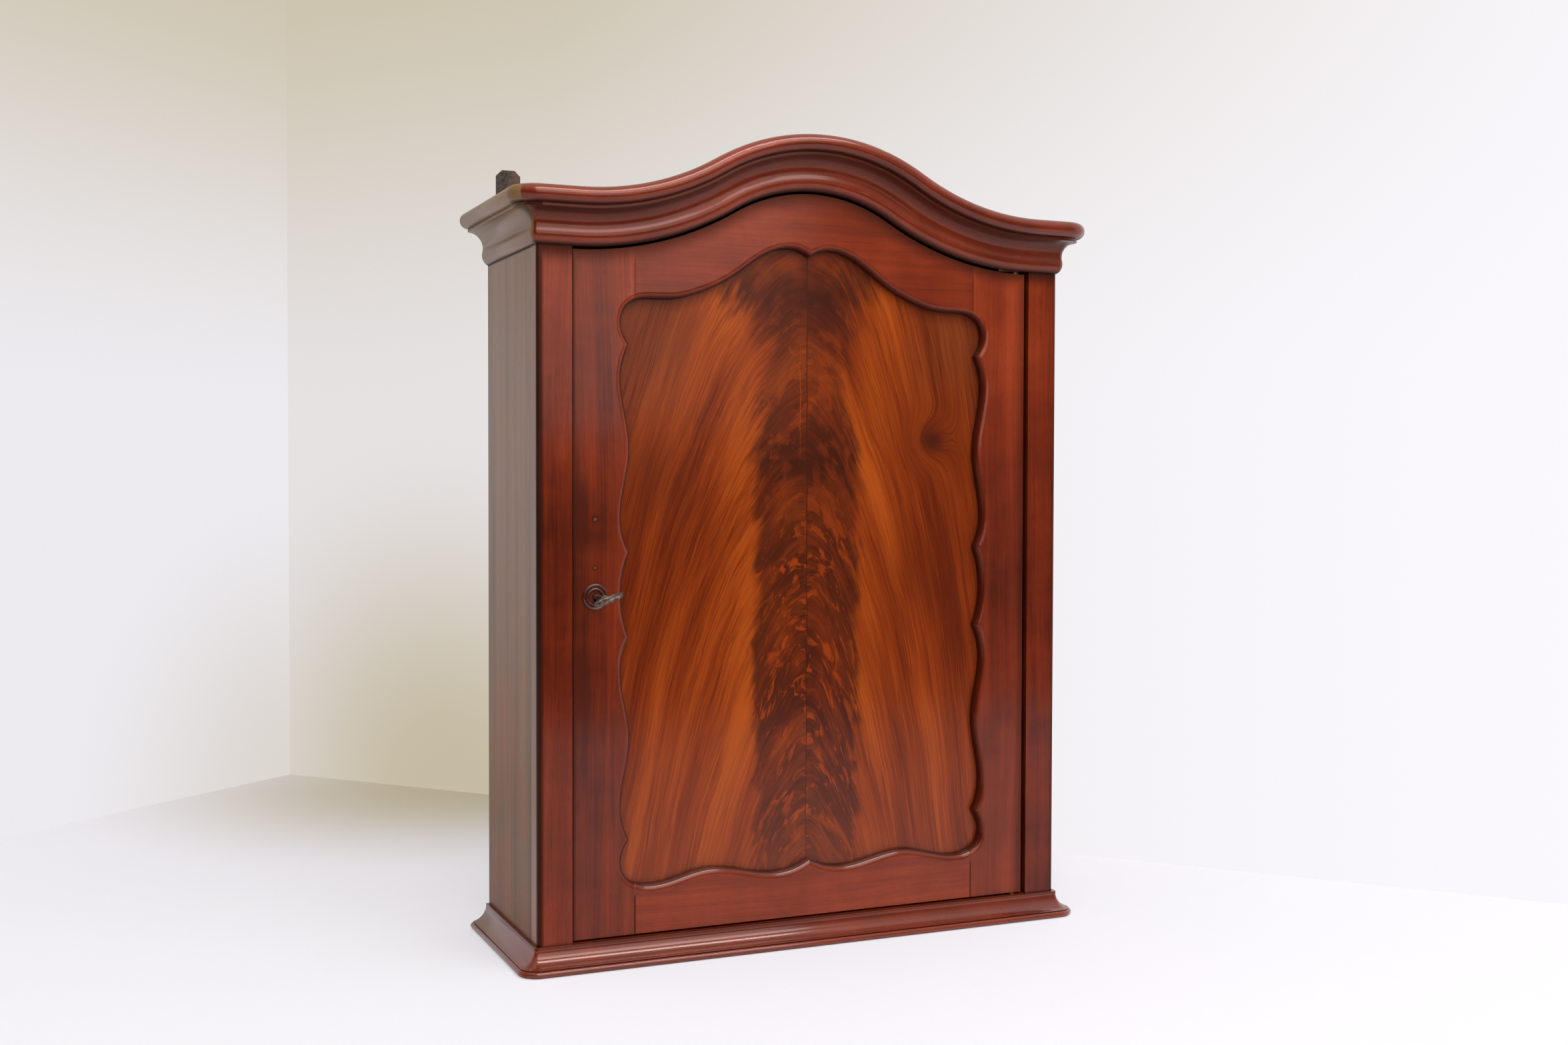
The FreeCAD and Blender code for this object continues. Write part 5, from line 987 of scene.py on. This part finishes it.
def floor_paint(stage):
    """Pale floor that keeps the cabinet's shadow, duller behind the cabinet."""
    material, g, shader, place = new_material("floor_paint")
    gloom = shade_behind(g, place, stage)
    paint = g.blend(gloom, stage.floor, stage.shade)
    shown = g.blend(gloom, stage.floor_shown, stage.shade)
    matt_paint(material, g, shader, paint, shown, g.times(seen_directly(g), 0.5))
    return material


def set_camera(stage):
    """Camera from yaw, pitch and roll."""
    data = bpy.data.cameras.new("camera")
    data.sensor_fit = "HORIZONTAL"
    data.sensor_width = SENSOR_WIDTH
    data.lens = stage.camera_lens
    yaw, pitch, roll = stage.camera_yaw, stage.camera_pitch, stage.camera_roll
    flat = math.cos(pitch)
    ahead = Vector((math.sin(yaw) * flat, math.cos(yaw) * flat, math.sin(pitch)))
    level = Vector((math.cos(yaw), -math.sin(yaw), 0.0))
    upright = level.cross(ahead)
    right = level * math.cos(roll) + upright * math.sin(roll)
    up = upright * math.cos(roll) - level * math.sin(roll)
    turn = Matrix((right, up, -ahead)).transposed().to_4x4()
    camera = bpy.data.objects.new("camera", data)
    camera.matrix_world = Matrix.Translation(stage.camera_place) @ turn
    bpy.context.scene.collection.objects.link(camera)
    bpy.context.scene.camera = camera


def soft_lamp(name, place, target, width, height, power, shade):
    """Rectangular lamp aimed at a point."""
    data = bpy.data.lights.new(name, "AREA")
    data.shape = "RECTANGLE"
    data.size, data.size_y = width, height
    data.energy = power
    data.color = shade
    lamp = bpy.data.objects.new(name, data)
    lamp.location = place
    lamp.rotation_mode = "QUATERNION"
    lamp.rotation_quaternion = (Vector(target) - Vector(place)).to_track_quat("-Z", "Y")
    bpy.context.scene.collection.objects.link(lamp)


def set_world(stage):
    """Room light: pale overhead, dimmer at the horizon, dimmest low in front and at the left."""
    world = bpy.data.worlds.new("room")
    bpy.context.scene.world = world
    world.use_nodes = True
    g = Graph(world.node_tree)
    way = g.add("ShaderNodeTexCoord").outputs["Generated"]
    up = g.parts(way)[2]
    sky = g.ramp(g.span(up, -0.2, 1.0), (0.15, (0.22, 0.22, 0.225)), (0.45, (0.45, 0.45, 0.455)),
                 (0.85, (0.85, 0.85, 0.86)))
    ahead = g.vector("DOT_PRODUCT", way, (-0.6, -0.8, 0.0))["Value"]
    dim = g.times(g.rise(ahead, 0.0, 0.55), g.fade(up, 0.25, 0.55, 0.80))
    room = g.blend(dim, sky, (0.02, 0.02, 0.02))
    shown = g.add("ShaderNodeLightPath").outputs["Is Camera Ray"]
    background = world.node_tree.nodes["Background"]
    g.put(background.inputs["Color"], g.blend(shown, room, stage.beyond))


class CABINET_OT_stage(Operator):
    """Set the pale room corner, the lamps and the camera"""

    bl_idname = "cabinet.stage"
    bl_label = "Stage"

    def execute(self, context):
        stage = context.scene.cabinet_stage
        along = Vector((math.cos(stage.corner_turn), math.sin(stage.corner_turn), 0.0))
        out = Vector((along.y, -along.x, 0.0))
        up = Vector((0.0, 0.0, WALL_HEIGHT))
        wide, deep = (FLOOR_WIDTH, 0.0, 0.0), (0.0, FLOOR_DEPTH, 0.0)
        right = wall_paint("wall_right_paint", stage.wall_near, stage.wall_far, stage, along)
        left = wall_paint("wall_left_paint", stage.wall_left, stage.wall_left, stage, out)
        for name, start, first, second, paint in (
            ("floor", FLOOR_START, wide, deep, floor_paint(stage)),
            ("wall_right", stage.corner, along * WALL_RUN_RIGHT, up, right),
            ("wall_left", stage.corner, up, out * WALL_RUN_LEFT, left),
        ):
            sheet = flat_sheet(name, start, first, second)
            sheet.data.materials.append(paint)
        for lamp in LAMPS:
            soft_lamp(*lamp)
        set_world(stage)
        set_camera(stage)
        context.scene.view_settings.view_transform = "Standard"
        return {"FINISHED"}


class CABINET_PT_sidebar(Panel):
    """Lists the cabinet's finishes and the stage"""

    bl_idname = "CABINET_PT_sidebar"
    bl_label = "Hanging cabinet"
    bl_space_type = "VIEW_3D"
    bl_region_type = "UI"
    bl_category = "Cabinet"

    def draw(self, context):
        for operator in OPERATORS:
            self.layout.operator(operator.bl_idname)
        for group in (context.scene.cabinet_finish, context.scene.cabinet_stage):
            for name in group.__annotations__:
                self.layout.prop(group, name)


OPERATORS = (
    CABINET_OT_frame_wood,
    CABINET_OT_flame_panel,
    CABINET_OT_inner_boards,
    CABINET_OT_roof,
    CABINET_OT_ironwork,
    CABINET_OT_brasswork,
    CABINET_OT_escutcheon,
    CABINET_OT_stage,
)
CLASSES = (CabinetFinish, CabinetStage, *OPERATORS, CABINET_PT_sidebar)


def register():
    """Make classes and settings known."""
    for item in CLASSES:
        bpy.utils.register_class(item)
    bpy.types.Scene.cabinet_finish = PointerProperty(type=CabinetFinish)
    bpy.types.Scene.cabinet_stage = PointerProperty(type=CabinetStage)


def unregister():
    """Take them away."""
    del bpy.types.Scene.cabinet_stage
    del bpy.types.Scene.cabinet_finish
    for item in reversed(CLASSES):
        bpy.utils.unregister_class(item)


def main():
    """Finish every piece and set the stage."""
    register()
    bpy.ops.cabinet.frame_wood()
    bpy.ops.cabinet.flame_panel()
    bpy.ops.cabinet.inner_boards()
    bpy.ops.cabinet.roof()
    bpy.ops.cabinet.ironwork()
    bpy.ops.cabinet.brasswork()
    bpy.ops.cabinet.escutcheon()
    bpy.ops.cabinet.stage()


if __name__ == "__main__":
    main()
